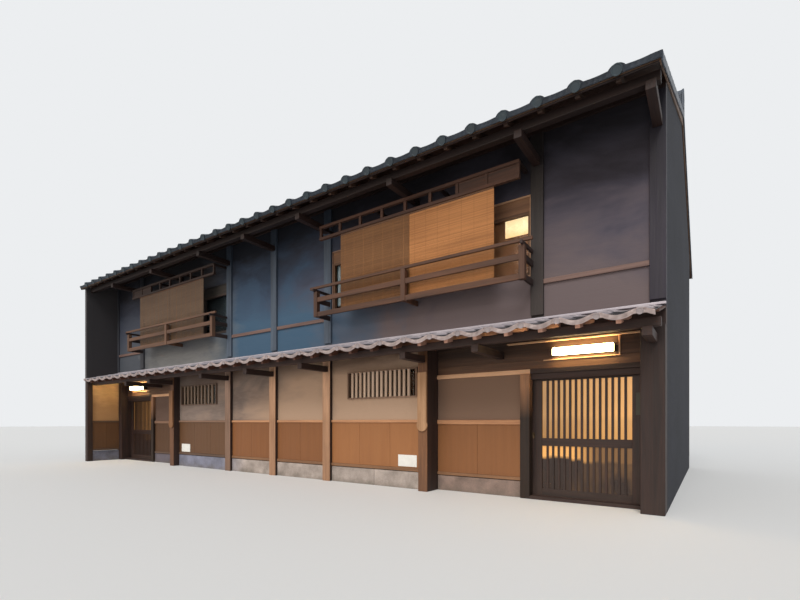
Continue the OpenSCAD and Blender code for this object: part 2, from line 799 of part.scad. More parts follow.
// Section across the pent tiles: hollow pans and low rolls
module pent_section(x0, x1) {
    hollow_pans(x0, x1);
    rolls(pent_roll_h);
}

// Front of the pent eave tiles: a curved apron under each pan and a disc on each roll
module pent_eave(x0, x1) {
    apron_r = arc_r(apron_w, apron_h);
    hollow_pans(x0, x1) intersection() {
        for (x = pan_x) translate([x, apron_r - apron_h]) circle(r = apron_r, $fn = 96);
        translate([x0, -apron_h]) square([x1 - x0, apron_h + eps]);
    }
    rolls(pent_roll_h);
    discs(pent_disc_r, pent_roll_h);
}

// Tiles on a slope, drawn from a solid bed at the upper edge down to the eave at
// z = length: first the section of the tiles, then that of their front
module tiled_slope(x0, x1, bed_h, length) {
    linear_extrude(height = length) children(0);
    translate([x0, 0, 0]) cube([x1 - x0, bed_h, bed_w]);
    translate([0, 0, length - eps]) linear_extrude(height = eave_plate_t) children(1);
}

// Lays the tiles a hair above boards that pass through [y, z] at the given angle
module on_slope(y, z, angle) {
    translate([0, y - house_depth / 2, z + eps]) rotate([90 + angle, 0, 0]) children();
}

// Tiles of the pent roof, cut at the plaster and round the wing wall, with a flashing
module pent_tiles() color("slategray") {
    difference() {
        on_slope(0, pent_top(0), pent_angle)
            tiled_slope(-half_len, pent_end, pent_tile_h,
                (pent_reach + tile_over) / cos(pent_angle)) {
                pent_section(-half_len, pent_end);
                pent_eave(-half_len, pent_end);
            }
        block(-half_len - 1, half_len + 1, 0, 2 * tile_h, 0, flashing_top);
        block(-half_len - 1, -half_len + wing_t, -wing_out, tile_h, 0, flashing_top + 1);
    }
    block(-half_len + wing_t, half_len, -upper_post_out, 0, pent_top(0) + pan_t / 2,
        flashing_top);
}

// A post of the upper wall, which stands out above the tiles of the pent roof
module upper_post(x) {
    x0 = x - upper_post_w / 2;
    x1 = x + upper_post_w / 2;
    block(x0, x1, 0, wall_t, floor_top, plate_z);
    block(x0, x1, -upper_post_out, eps, flashing_top, plate_z);
}

module upper_posts() color("saddlebrown")
    for (x = [-end_post_mid, -window_post_x, -bay_x, 0, bay_x, window_post_x, end_post_mid])
        upper_post(x);

upper_bays = [[upper_post_w / 2, bay_x - upper_post_w / 2],
    [window_post_x + upper_post_w / 2, half_len - upper_post_w]];

module upper_rails() color("saddlebrown") both()
    for (bay = upper_bays)
        block(bay[0], bay[1], -rail_out, wall_t, upper_rail_z - upper_rail_h / 2,
            upper_rail_z + upper_rail_h / 2);

// Plaster panels of the upper wall, split at the rails and round the windows
module upper_plaster() color("slategray") both() {
    for (bay = upper_bays) {
        block(bay[0], bay[1], 0, wall_t, floor_top, upper_rail_z - upper_rail_h / 2);
        block(bay[0], bay[1], 0, wall_t, upper_rail_z + upper_rail_h / 2, plate_z);
    }
    block(window_x0, window_x1, 0, wall_t, floor_top, window_z);
    block(window_x0, window_x1, 0, wall_t, window_top, plate_z);
}

rail_low = [rail_low_z - rail_flat_h / 2, rail_low_z + rail_flat_h / 2];
rail_mid = [rail_mid_z - rail_flat_h / 2, rail_mid_z + rail_flat_h / 2];
handrail = [rail_top_z - handrail_h / 2, rail_top_z + handrail_h / 2];
// The side handrails lie under the front one and carry its ends
side_handrail = [handrail[0] - handrail_h, handrail[0]];
balcony_front = -balcony_out;
balcony_back = -balcony_out + balcony_post;
mid_post_x0 = balcony_mid - balcony_post / 2;

// Posts of both balconies, and the arm that holds each middle post to the wall
module balcony_posts() color("saddlebrown") both() {
    for (x = [balcony_x0, balcony_x1 - balcony_post])
        block(x, x + balcony_post, balcony_front, balcony_back, rail_low[0], side_handrail[0]);
    block(mid_post_x0, mid_post_x0 + balcony_post, balcony_front, balcony_back,
        rail_low[0], handrail[0]);
    block(balcony_mid - rail_t / 2, balcony_mid + rail_t / 2, balcony_back - eps, 0,
        rail_low[0], rail_low[1]);
}

// Rails between the posts, and the handrail with its horns over them
module balcony_rails() color("saddlebrown") both() {
    y0 = balcony_front + rail_set;
    for (z = [rail_low, rail_mid]) {
        block(balcony_x0 + balcony_post, mid_post_x0, y0, y0 + rail_t, z[0], z[1]);
        block(mid_post_x0 + balcony_post, balcony_x1 - balcony_post, y0, y0 + rail_t,
            z[0], z[1]);
    }
    block(balcony_x0 - horn, balcony_x1 + horn, y0, y0 + rail_t, handrail[0], handrail[1]);
}

// Rails from the corner posts back to the wall posts
module balcony_returns() color("saddlebrown") both()
    for (x = [balcony_x0 + rail_set, balcony_x1 - rail_set - rail_t]) {
        for (z = [rail_low, rail_mid])
            block(x, x + rail_t, balcony_back, -upper_post_out, z[0], z[1]);
        block(x, x + rail_t, balcony_front - horn / 2, -upper_post_out,
            side_handrail[0], side_handrail[1]);
    }

blind_frame_front = -blind_out - blind_bar_t / 2;
blind_frame_back = -blind_out + blind_bar_t / 2;
blind_frame_x1 = blind_frame_x + blind_frame_l;

// Two long bars with struts between them, from which the blinds hang, boarded at the
// outer end
module blind_frames() color("sienna") both() {
    step = (blind_frame_l - blind_bar_h) / blind_struts;
    for (z = [blind_bar_z, blind_top_z])
        block(blind_frame_x, blind_frame_x1, blind_frame_front, blind_frame_back,
            z - blind_bar_h / 2, z + blind_bar_h / 2);
    for (i = [0 : blind_struts]) let(x = blind_frame_x + i * step)
        block(x, x + blind_bar_h, blind_frame_front + rail_set, blind_frame_back - rail_set,
            blind_bar_z, blind_top_z);
    block(blind_frame_x1 - blind_bar_h - blind_boarded * step, blind_frame_x1 - eps,
        -blind_out - blind_t / 2, -blind_out + blind_t / 2, blind_bar_z, blind_top_z);
}

// Split-bamboo blinds in two widths
module blinds(x0, x1, split) color("peru") {
    block(x0, split - blind_gap / 2, -blind_out - blind_t / 2, -blind_out + blind_t / 2,
        blind_z, blind_bar_z - blind_bar_h / 2);
    block(split + blind_gap / 2, x1, -blind_out - blind_t / 2, -blind_out + blind_t / 2,
        blind_z, blind_bar_z - blind_bar_h / 2);
}

module blinds_right() blinds(blind_x, blind_x + blind_w, blind_x + blind_split);
module blinds_left() mirror([1, 0, 0]) blinds_right();

// Plates on the front and rear walls that the roof boards lie on
module wall_plates() color("saddlebrown") {
    along_x(-half_len, half_len, [[-plate_out, plate_z], [wall_t, plate_z],
        [wall_t, roof_under(wall_t)], [-plate_out, roof_under(-plate_out)]]);
    behind() along_x(-half_len, half_len, [[-plate_out, plate_z], [wall_t, plate_z],
        [wall_t, roof_under(wall_t)], [-plate_out, roof_under(-plate_out)]]);
}

// Roof boards of one slope, with the rafter tails below the overhang
module roof_deck() color("sienna") {
    tail = -eave_out + fascia_t;
    along_x(-roof_half_len, roof_half_len, [[-eave_out, roof_under(-eave_out)],
        [ridge_y, roof_under(ridge_y)], [ridge_y, roof_top(ridge_y)],
        [-eave_out, roof_top(-eave_out)]]);
    for (x = pan_x)
        along_x(x - rafter_w / 2, x + rafter_w / 2,
            [[tail, roof_under(tail) - rafter_h],
             [-plate_out, roof_under(-plate_out) - rafter_h],
             [-plate_out, roof_under(-plate_out) + eps], [tail, roof_under(tail) + eps]]);
}

module roof_deck_front() roof_deck();
module roof_deck_rear() behind() roof_deck();

// Tiled covering of one slope of the main roof
module roof_tiles() color("slategray")
    on_slope(ridge_y, roof_top(ridge_y), roof_angle)
        tiled_slope(-roof_half_len, roof_half_len, tile_h,
            (ridge_y + eave_out + tile_over) / cos(roof_angle)) {
            main_section(-roof_half_len, roof_half_len);
            main_eave(-roof_half_len, roof_half_len);
        }

module roof_tiles_front() roof_tiles();
module roof_tiles_rear() behind() roof_tiles();

// Stacked ridge courses with a round cap, seated on the beds of both slopes
module ridge() color("slategray") {
    z0 = roof_top(ridge_y) + tile_h / cos(roof_angle) + seat_gap;
    w = ridge_w / 2;
    cap_mid = z0 + ridge_h - ridge_cap_r;
    along_x(-roof_half_len, roof_half_len, [[ridge_y - w, z0 - roof_slope * w],
        [ridge_y, z0], [ridge_y + w, z0 - roof_slope * w], [ridge_y + w, z0 + ridge_foot],
        [ridge_y + ridge_cap_r, cap_mid], [ridge_y - ridge_cap_r, cap_mid],
        [ridge_y - w, z0 + ridge_foot]]);
    translate([-roof_half_len, 0, cap_mid]) rotate([0, 90, 0])
        cylinder(r = ridge_cap_r, h = 2 * roof_half_len, $fn = 48);
}

// Boards along the edges of both main eaves
module fascia_boards() color("tan")
    for (turn = [0, 180]) rotate([0, 0, turn])
        block(-half_len, half_len, -eave_out, -eave_out + fascia_t,
            roof_under(-eave_out) - fascia_h, roof_under(-eave_out));

// Boards up both slopes of each gable, under the overhang
module gable_boards() color("tan")
    for (turn = [0, 180]) rotate([0, 0, turn]) both()
        along_x(half_len, roof_half_len, [[-eave_out, roof_under(-eave_out)],
            [ridge_y, roof_under(ridge_y)], [ridge_y, roof_under(ridge_y) - barge_h],
            [-eave_out, roof_under(-eave_out) - fascia_h]]);

// A lamp on the boards above each door, centred on the doorway
module lamps() color("ivory") both()
    block(door_mid - lamp_w / 2, door_mid + lamp_w / 2, recess - lamp_t, recess,
        lamp_z, lamp_z + lamp_h);

// Long boards with a wider rounded foot, bare
module hanging_boards() color("peru") both()
    translate([deep_mid, -deep_out - house_depth / 2, sign_z])
        rotate([90, 0, 0]) linear_extrude(height = sign_t) union() {
            translate([-sign_w * sign_waist / 2, sign_w / 2])
                square([sign_w * sign_waist, sign_h - sign_w / 2]);
            translate([0, sign_w / 2]) circle(d = sign_w, $fn = 48);
        }

// Bare white plates on the wainscot
module notice_plates() color("white") both()
    block(deep_x - plate_gap - plate_w, deep_x - plate_gap, -board_out - plate_t, -board_out,
        notice_z, notice_z + plate_h);

ground_floor();
upper_floor();
stone_base();
party_wall_left();
party_wall_right();
rear_wall_lower();
rear_wall_upper();
rear_timbers();
rear_windows();
window_glass();
front_posts();
deep_posts();
end_posts();
door_posts();
side_wing();
lower_rails();
wainscot();
lower_plaster();
window_lattice_left();
window_lattice_right();
door_heads();
door_sills();
entry_boards();
door_left();
door_right();
door_glass_left();
door_glass_right();
wall_beam();
bracket_arms();
eave_beams();
pent_deck();
pent_tiles();
upper_posts();
upper_rails();
upper_plaster();
upper_window_left();
upper_window_right();
balcony_posts();
balcony_rails();
balcony_returns();
blind_frames();
blinds_left();
blinds_right();
wall_plates();
roof_deck_front();
roof_deck_rear();
roof_tiles_front();
roof_tiles_rear();
ridge();
fascia_boards();
gable_boards();
lamps();
hanging_boards();
notice_plates();
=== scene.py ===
import math
import random

import bmesh
import bpy
from mathutils import Matrix, Vector


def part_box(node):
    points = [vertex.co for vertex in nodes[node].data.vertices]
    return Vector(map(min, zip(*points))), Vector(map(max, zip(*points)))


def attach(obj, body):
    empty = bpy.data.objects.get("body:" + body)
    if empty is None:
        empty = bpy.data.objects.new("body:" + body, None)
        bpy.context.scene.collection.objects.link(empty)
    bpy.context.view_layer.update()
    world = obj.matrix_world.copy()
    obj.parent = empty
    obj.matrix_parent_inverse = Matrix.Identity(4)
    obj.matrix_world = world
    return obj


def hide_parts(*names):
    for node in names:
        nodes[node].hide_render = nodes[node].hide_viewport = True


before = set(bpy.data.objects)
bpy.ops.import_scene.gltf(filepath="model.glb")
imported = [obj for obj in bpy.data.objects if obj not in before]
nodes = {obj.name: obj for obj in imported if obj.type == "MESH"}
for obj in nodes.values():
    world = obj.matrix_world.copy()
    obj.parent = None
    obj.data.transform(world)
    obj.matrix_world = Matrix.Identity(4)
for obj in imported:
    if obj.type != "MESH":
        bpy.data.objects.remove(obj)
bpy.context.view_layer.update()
scene = bpy.context.scene
luck = random.Random(7)

# Places that many pieces share, from the frame and from the model's own sizes, in metres
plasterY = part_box("upper_plaster")[0].y      # front plaster face
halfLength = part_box("rear_wall_lower")[1].x  # outer face of a party wall
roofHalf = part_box("ridge")[1].x              # edge of the main roof
tileRolls = 33
tilePitch = 2 * roofHalf / tileRolls
edgeGap = 0.001                              # tiles and ridge stop this far inside that edge
halfTurn = Matrix.Rotation(math.pi, 4, "Z")
sides = ((1, "Right"), (-1, "Left"))

# Middles and half widths of the front posts and of the deep posts beside the entrances,
# the bays between them, and the panel beside each door
posts = {"frontX": 1.65, "frontHalf": 0.1, "deepX": 4.01, "deepHalf": 0.09, "doorW": 0.15}
bays = ((posts["frontHalf"], posts["frontX"] - posts["frontHalf"]),
        (posts["frontX"] + posts["frontHalf"], posts["deepX"] - posts["deepHalf"]))
entryX = (posts["deepX"] + posts["deepHalf"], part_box("door_posts")[1].x - posts["doorW"])
entryY = 0.2                                 # depth of the wall beside the doors
rearY = (7.18, 7.32)                         # depth of the rear stone base
wing = {"out": 0.75, "thick": 0.12, "boardOut": 0.008, "boards": ((-0.749, -0.376), (-0.374, -0.001))}

# Camera first, at the photograph's place
camera = {"place": (8.079, -10.40, 1.19), "turnDeg": 34.63, "lens": 20.3, "shiftY": 0.1525}

eye = bpy.data.objects.new("camera", bpy.data.cameras.new("camera"))
scene.collection.objects.link(eye)
eye.location = camera["place"]
eye.rotation_euler = (math.pi / 2, 0, math.radians(camera["turnDeg"]))
eye.data.sensor_fit = "HORIZONTAL"
eye.data.sensor_width = 36
eye.data.lens = camera["lens"]
eye.data.shift_y = camera["shiftY"]
eye.data.clip_end = 300
scene.camera = eye
print("stage: camera")


def tint(red, green, blue):
    # A screen colour as the linear colour that a shader takes
    levels = (red / 255, green / 255, blue / 255)
    return (*(v / 12.92 if v <= 0.04045 else ((v + 0.055) / 1.055) ** 2.4 for v in levels), 1.0)


# Finished materials by name
looks = {}


# A material with one shader, and short ways to add nodes to it
class Finish:
    def __init__(self, name):
        looks[name] = bpy.data.materials.new(name)
        looks[name].use_nodes = True
        self.tree = looks[name].node_tree
        self.tree.nodes.clear()
        self.shader = self.add("BsdfPrincipled")
        self.add("OutputMaterial", {"Surface": self.shader.outputs["BSDF"]})
        self.place = self.add("TexCoord").outputs["Object"]
        self.axes = self.add("SeparateXYZ", {"Vector": self.place}).outputs

    def feed(self, node, sockets):
        for key, value in sockets.items():
            if isinstance(value, bpy.types.NodeSocket):
                self.tree.links.new(value, node.inputs[key])
            else:
                node.inputs[key].default_value = value

    def add(self, kind, sockets=None, **options):
        # A node with its options set, and its sockets linked or given a value
        node = self.tree.nodes.new("ShaderNode" + kind)
        for key, value in options.items():
            setattr(node, key, value)
        self.feed(node, sockets or {})
        return node

    def attribute(self, name, output="Fac"):
        return self.add("Attribute", attribute_name=name).outputs[output]

    def noise(self, source, scale, detail=3.0, rough=0.55, warp=0.0):
        return self.add("TexNoise", {"Vector": source, "Scale": scale, "Detail": detail,
                                     "Roughness": rough, "Distortion": warp}).outputs["Fac"]

    def stretched(self, source, scale, *more):
        # Noise with a scale for each axis
        mapping = self.add("Mapping", {"Vector": source, "Scale": scale})
        return self.noise(mapping.outputs["Vector"], 1.0, *more)

    def spread(self, factor, low, high, newLow=0.0, newHigh=1.0):
        # A value moved from one range to another, and held inside it
        return self.add("MapRange", {"Value": factor, "From Min": low, "From Max": high,
                                     "To Min": newLow, "To Max": newHigh}).outputs["Result"]

    def maths(self, way, first, second):
        return self.add("Math", {0: first, 1: second}, operation=way).outputs["Value"]

    def times(self, first, second):
        return self.maths("MULTIPLY", first, second)

    def plus(self, first, second):
        return self.maths("ADD", first, second)

    def choice(self, factor, first, second):
        return self.add("Mix", {"Factor": factor, "A": first, "B": second}).outputs["Result"]

    def mixed(self, factor, first, second, way="MIX"):
        # The colour sockets of a mix node have the numbers 6 and 7, and its colour result 2
        return self.add("Mix", {0: factor, 6: first, 7: second}, data_type="RGBA", blend_type=way).outputs[2]

    def ramp(self, factor, *stops):
        node = self.add("ValToRGB", {"Fac": factor})
        for band, (place, colour) in zip(node.color_ramp.elements, stops):
            band.position = place
            band.color = tint(*colour)
        return node.outputs["Color"]

    def shaded(self, colour, level):
        # One value that makes a colour darker or paler
        grey = self.add("CombineColor", {"Red": level, "Green": level, "Blue": level}).outputs["Color"]
        return self.mixed(1.0, colour, grey, "MULTIPLY")

    def faded(self, colour, paintedLightFades):
        # Each fade multiplies the colour along one axis to paint light or shade there: factor, axis, from, to
        for factor, axis, start, end in paintedLightFades:
            part = self.mixed(1.0, colour, (*factor, 1.0), "MULTIPLY")
            colour = self.mixed(self.spread(self.axes[axis], start, end), colour, part)
        return colour

    def bump(self, height, strength, distance):
        made = self.add("Bump", {"Height": height, "Strength": strength, "Distance": distance})
        self.feed(self.shader, {"Normal": made.outputs["Normal"]})

    def finish(self, colour, rough, sockets=None):
        self.feed(self.shader, {"Base Color": colour, "Roughness": rough, **(sockets or {})})

    def glow(self, level, dusk, bright, strength, rough):
        colour = self.mixed(level, tint(*dusk), tint(*bright))
        self.finish(colour, rough, {"Emission Color": colour, "Emission Strength": strength})


# Wood that follows each board: long bands, fine fibres, a tone for each board and
# weathering near the ground
def wood(name, pale, deep, toneSpread=0.35, soil=0.35, rough=0.62, fibre=0.35, paintedLightFades=()):
    look = Finish(name)
    grain = look.attribute("grain", "Vector")
    bands = look.stretched(grain, (0.7, 13, 13), 2.0, 0.5, 0.5)
    streaks = look.stretched(grain, (1.6, 60, 60), 4.0, 0.6)
    fibres = look.stretched(grain, (9, 420, 420), 2.0, 0.5)
    figure = look.plus(look.times(bands, 0.6), look.times(streaks, 0.4))
    shade = look.spread(look.attribute("tone"), 0, 1, 1 - toneSpread / 2, 1 + toneSpread / 2)
    fine = look.spread(fibres, 0.3, 0.7, 1 - fibre / 2, 1 + fibre / 4)
    colour = look.shaded(look.ramp(figure, (0.34, deep), (0.66, pale)), look.times(shade, fine))
    colour = look.faded(colour, paintedLightFades)
    edge = look.plus(look.axes["Z"], look.spread(look.noise(look.place, 2.3), 0.3, 0.7, -0.25, 0.25))
    colour = look.mixed(look.spread(edge, 0.0, 0.7, soil, 0.0), colour, tint(88, 78, 70))
    look.bump(look.plus(fibres, look.times(streaks, 2.0)), 0.35, 0.0015)
    look.finish(colour, look.spread(streaks, 0.3, 0.7, rough - 0.08, rough + 0.12),
                {"Specular IOR Level": 0.35})


# Trowelled earth plaster: broad stains, long trowel strokes and fine sand
def plaster(name, body, stain, paintedLightFades=(), grit=0.5):
    # Each fade paints light or shade by turning the colour towards another along one axis: colour, axis,
    # from, to, share
    look = Finish(name)
    broad = look.stretched(look.place, (0.5, 0.5, 1.1), 4.0, 0.6, 0.4)
    strokes = look.stretched(look.place, (2.2, 2.2, 16), 5.0, 0.65, 0.8)
    sand = look.noise(look.place, 260, 3.0, 0.6)
    mood = look.plus(look.times(broad, 0.6), look.times(strokes, 0.4))
    colour = look.ramp(mood, (0.36, stain), (0.62, body))
    for other, axis, start, end, share in paintedLightFades:
        ragged = min(1.5, abs(end - start) / 2)
        part = look.plus(look.axes[axis], look.spread(broad, 0.3, 0.7, -ragged, ragged))
        colour = look.mixed(look.spread(part, start, end, 0.0, share), colour, tint(*other))
    look.bump(look.plus(look.times(sand, 0.4), look.times(strokes, 1.6)), grit, 0.004)
    look.finish(look.shaded(colour, look.spread(sand, 0.3, 0.7, 0.94, 1.05)), 0.85,
                {"Specular IOR Level": 0.25})


def stoneware(name, pale, deep, paintedLightFades):
    look = Finish(name)
    cloud = look.noise(look.place, 3.2, 5.0, 0.6)
    speck = look.noise(look.place, 190, 2.0, 0.5)
    pits = look.noise(look.place, 38, 4.0, 0.7)
    level = look.times(look.spread(speck, 0.35, 0.65, 0.8, 1.12),
                       look.spread(look.attribute("tone"), 0, 1, 0.9, 1.08))
    colour = look.shaded(look.ramp(cloud, (0.32, deep), (0.66, pale)), level)
    colour = look.faded(colour, paintedLightFades)
    edge = look.plus(look.axes["Z"], look.spread(cloud, 0.3, 0.7, -0.06, 0.06))
    colour = look.mixed(look.spread(edge, 0.0, 0.12, 0.45, 0.0), colour, tint(104, 96, 84))
    look.bump(look.plus(pits, look.times(cloud, 2.0)), 0.55, 0.008)
    look.finish(colour, 0.82)


# Smoked clay tiles with a silvery bloom that differs from tile to tile
def clay(name, pale, deep, hollow=0.3):
    look = Finish(name)
    cloud = look.noise(look.place, 5.0, 4.0, 0.6, 0.3)
    lichen = look.noise(look.place, 21, 5.0, 0.7)
    mood = look.plus(look.times(cloud, 0.8), look.times(look.attribute("tone"), 0.2))
    colour = look.ramp(mood, (0.2, deep), (0.75, pale))
    colour = look.mixed(look.spread(lichen, 0.6, 0.78, 0.0, 0.3), colour, tint(132, 132, 122))
    # Painted shade in the hollows of the pans, by the given share
    colour = look.mixed(look.times(look.attribute("soot"), hollow), colour, tint(26, 27, 34))
    look.bump(look.plus(cloud, look.times(lichen, 0.5)), 0.25, 0.004)
    look.finish(colour, look.spread(cloud, 0.3, 0.7, 0.36, 0.56), {"Metallic": 0.15})


def splitBamboo(name, pale, deep, paintedLightFades):
    look = Finish(name)
    cloud = look.stretched(look.place, (0.9, 1, 3.5), 3.0, 0.6)
    streaks = look.stretched(look.attribute("grain", "Vector"), (2.5, 90, 90), 3.0, 0.6)
    mood = look.plus(look.times(cloud, 0.5), look.times(look.attribute("tone"), 0.3))
    mood = look.plus(mood, look.times(streaks, 0.2))
    look.bump(streaks, 0.3, 0.001)
    look.finish(look.faded(look.ramp(mood, (0.25, deep), (0.7, pale)), paintedLightFades), 0.5)


def paint(name, body, rough=0.45, metal=0.0):
    look = Finish(name)
    cloud = look.noise(look.place, 14, 4.0, 0.6)
    look.bump(cloud, 0.15, 0.001)
    look.finish(look.shaded(tint(*body), look.spread(cloud, 0.3, 0.7, 0.94, 1.06)),
                look.spread(cloud, 0.3, 0.7, rough - 0.06, rough + 0.08), {"Metallic": metal})


def glass(name, body, bend):
    look = Finish(name)
    rough = look.spread(look.noise(look.place, 1.7), 0.3, 0.7, 0.02, 0.07)
    look.finish(tint(*body), rough, {"Transmission Weight": 1.0, "IOR": bend})


# Panes lit from inside: even above the split height, and dimming below it
def litPane(name, bright, dusk, split, fade, strength):
    look = Finish(name)
    cloud = look.stretched(look.place, (5.0, 1, 6.0), 4.0, 0.6, 0.6)
    level = look.times(look.spread(look.axes["Z"], split - fade, split),
                       look.spread(cloud, 0.4, 0.55, 0.55, 1.05))
    look.glow(level, dusk, bright, strength, 0.18)


# Door panes: lit above the middle rail, more to the right; below it only a band of light
def doorPane(name, bright, dusk, strength):
    look = Finish(name)
    height = look.axes["Z"]
    side = look.maths("ABSOLUTE", look.axes["X"], 0.0)
    right = look.maths("GREATER_THAN", look.axes["X"], 0.0)
    cloud = look.stretched(look.place, (2.2, 1, 1.4), 3.0, 0.6, 0.4)
    above = look.choice(right, look.spread(side, 6.3, 6.9, 1.0, 0.35), look.spread(side, 5.9, 7.1, 0.52, 1.0))
    above = look.times(above, look.spread(height, 1.2, 1.3, 0.84, 1.0))
    above = look.times(above, look.spread(cloud, 0.3, 0.7, 0.86, 1.06))
    edge = look.plus(height, look.spread(cloud, 0.3, 0.7, -0.05, 0.05))
    below = look.times(look.spread(edge, 0.58, 0.64), look.spread(side, 6.35, 6.7, 1.0, 0.2))
    faint = look.times(look.spread(side, 6.5, 7.1, 0.04, 0.12), look.spread(cloud, 0.4, 0.62))
    below = look.times(look.maths("MAXIMUM", below, faint), look.spread(right, 0.0, 1.0, 0.15, 1.0))
    look.glow(look.choice(look.spread(height, 0.87, 0.89), below, above), dusk, bright, strength, 0.12)


# All finishes: a name, the pale and the deep colour, then what differs
wood("timber", (118, 88, 66), (74, 52, 38))
# Darker towards the top, above 4.3 m: painted shade under the eaves
wood("timberDark", (62, 43, 37), (37, 26, 23), soil=0.05, paintedLightFades=(((0.5, 0.42, 0.4), "Z", 4.3, 5.1),))
# Paler towards the top, painted light against the shade of the pent roof, and darker on the left half,
# painted shade
wood("postWood", (184, 140, 106), (146, 107, 79), 0.2, soil=0.15,
     paintedLightFades=(((1.75, 1.9, 2.1), "Z", 1.2, 1.9), ((0.6, 0.66, 0.8), "X", -1.2, -1.4)))
# Darker on the left half: painted shade
wood("deepPostWood", (132, 90, 60), (98, 65, 43), 0.2, soil=0.15, paintedLightFades=(((0.8, 0.8, 0.85), "X", 0.0, -1.0),))
# Dark, and far paler above 1.25 to 1.75 m: the paler upper part is painted lamp light
wood("doorPostWood", (46, 31, 21), (30, 20, 14), 0.2, soil=0.0,
     paintedLightFades=(((15.0, 14.5, 13.0), "Z", 1.25, 1.75),))
# Painted light and shade: darker and browner right of 3.8 m, darker on the left, bluer at the far right end
# and darker towards the eaves
wood("upperPostWood", (84, 95, 108), (64, 73, 84), 0.15,
     paintedLightFades=(((0.42, 0.24, 0.16), "X", 3.8, 4.2), ((0.7, 0.56, 0.5), "X", -2.2, -3.5),
            ((0.7, 0.75, 1.3), "X", 6.9, 7.0), ((0.5, 0.52, 0.56), "Z", 3.4, 5.2)))
wood("upperRailWood", (126, 100, 90), (96, 74, 68), 0.15)
# A pale finish of painted lamp light, for the trim and brackets beside the lamps
wood("trimWood", (222, 178, 138), (184, 140, 104), 0.2, soil=0.0)
# The pale lintel beside the doors: painted lamp light
wood("lintelWood", (238, 190, 150), (204, 154, 116), 0.2, soil=0.0)
# Darker and bluer on the left half, and much darker at the wing's end: painted shade
wood("dadoWood", (206, 152, 110), (168, 118, 82), 0.2, soil=0.0,
     paintedLightFades=(((0.5, 0.58, 0.75), "X", -1.6, -1.8), ((0.4, 0.4, 0.4), "X", -7.3, -7.4)))
# Paler towards the lowest row: painted lamp light
wood("entryWood", (84, 62, 48), (56, 40, 32), soil=0.0, paintedLightFades=(((2.6, 2.4, 2.1), "Z", 2.3, 2.0),))
# Pale warm rafters of painted lamp light, darker away from the lamps
wood("rafterWood", (214, 166, 142), (172, 124, 104), 0.3, soil=0.0,
     paintedLightFades=(((0.2, 0.16, 0.15), "X", 5.0, 3.6),))
# Darker and bluer on the left half: painted shade
wood("sashWood", (112, 80, 56), (74, 52, 38), paintedLightFades=(((0.5, 0.7, 1.1), "X", -1.0, -1.5),))
# Much darker on the left half, and darker left of 2.0 m: painted shade
wood("frameWood", (196, 156, 122), (158, 120, 90), 0.2,
     paintedLightFades=(((0.12, 0.19, 0.3), "X", -1.0, -1.5), ((0.5, 0.5, 0.6), "X", 2.2, 2.0)))
# Darker and bluer on the left half: painted shade
wood("boardWood", (142, 102, 72), (108, 76, 54), paintedLightFades=(((0.2, 0.35, 0.6), "X", -1.0, -1.5),))
# Darker left of 1.65 m, darker and bluer on the left half and darker in the recess beside the doors: painted
# shade
wood("wainscotWood", (156, 104, 62), (148, 97, 57), 0.08, 0.06, 0.58, 0.12,
     (((0.68, 0.64, 0.6), "X", 1.66, 1.64), ((0.55, 0.66, 0.85), "X", -1.6, -1.8),
      ((0.74, 0.72, 0.7), "Y", plasterY + 0.1, plasterY + 0.101)))
# Darker and bluer on the left half: painted shade
wood("baseRailWood", (146, 106, 74), (116, 82, 56), 0.2, soil=0.1,
     paintedLightFades=(((0.42, 0.5, 0.7), "X", -1.6, -1.8),))
wood("doorWood", (60, 39, 32), (34, 23, 20), soil=0.15, rough=0.5)
# Darker on the left half: painted shade
wood("latticeWood", (216, 190, 166), (178, 150, 126), 0.2, paintedLightFades=(((0.42, 0.4, 0.38), "X", 0.0, -1.0),))
# Darker on the left half: painted shade
wood("latticeFrameWood", (150, 120, 98), (118, 92, 74), 0.2, paintedLightFades=(((0.6, 0.62, 0.66), "X", 0.0, -1.0),))
# Darker than the balcony rails: painted shade on the returns
wood("returnWood", (58, 42, 38), (40, 30, 28))
# Paler and bluer on the left half: painted light
wood("railWood", (96, 64, 46), (60, 40, 29), paintedLightFades=(((1.35, 1.5, 1.55), "X", -1.2, -1.5),))
# Darker towards the top, above 4.9 m: painted shade under the eaves
wood("soffitWood", (118, 84, 60), (72, 49, 36), 0.4, paintedLightFades=(((0.36, 0.36, 0.42), "Z", 4.9, 5.2),))
# A pale lit edge, darker except at the far left end: painted light and shade
wood("fasciaWood", (172, 136, 104), (122, 90, 66), paintedLightFades=(((0.42, 0.4, 0.4), "X", -5.2, -4.0),))
# Darker and bluer on the left half: painted shade
wood("blindFrameWood", (84, 54, 40), (52, 34, 26), paintedLightFades=(((0.5, 0.56, 0.66), "X", -1.0, -1.5),))
wood("pentBoardWood", (88, 54, 38), (56, 35, 26), soil=0.0)
# Darker on the left half: painted shade
wood("signWood", (188, 148, 112), (148, 108, 74), 0.1, 0.0, paintedLightFades=(((0.55, 0.45, 0.36), "X", 0.0, -1.0),))
# Painted light and shade: dark at the left end, blue in the middle, warm lamp light to the right, and bluer
# and darker towards the eaves
plaster("upperPlaster", (128, 128, 126), (106, 107, 106),
        (((56, 62, 72), "X", -4.8, -6.2, 0.8), ((54, 84, 108), "X", -2.4, -1.4, 0.9),
         ((104, 92, 92), "X", 0.3, 3.4, 1.0), ((50, 56, 76), "Z", 3.2, 4.5, 0.65),
         ((22, 18, 19), "Z", 4.2, 5.3, 0.85)))
# Paler and warmer on the right: painted light; darker and warmer in the recess beside the doors and darker
# under the pent roof: painted shade
plaster("lowerPlaster", (140, 124, 114), (114, 100, 92),
        (((178, 149, 125), "X", -2.0, 1.0, 1.0), ((96, 72, 60), "Y", plasterY + 0.1, plasterY + 0.101, 0.75),
         ((80, 58, 46), "Z", 2.1, 2.5, 0.8)))
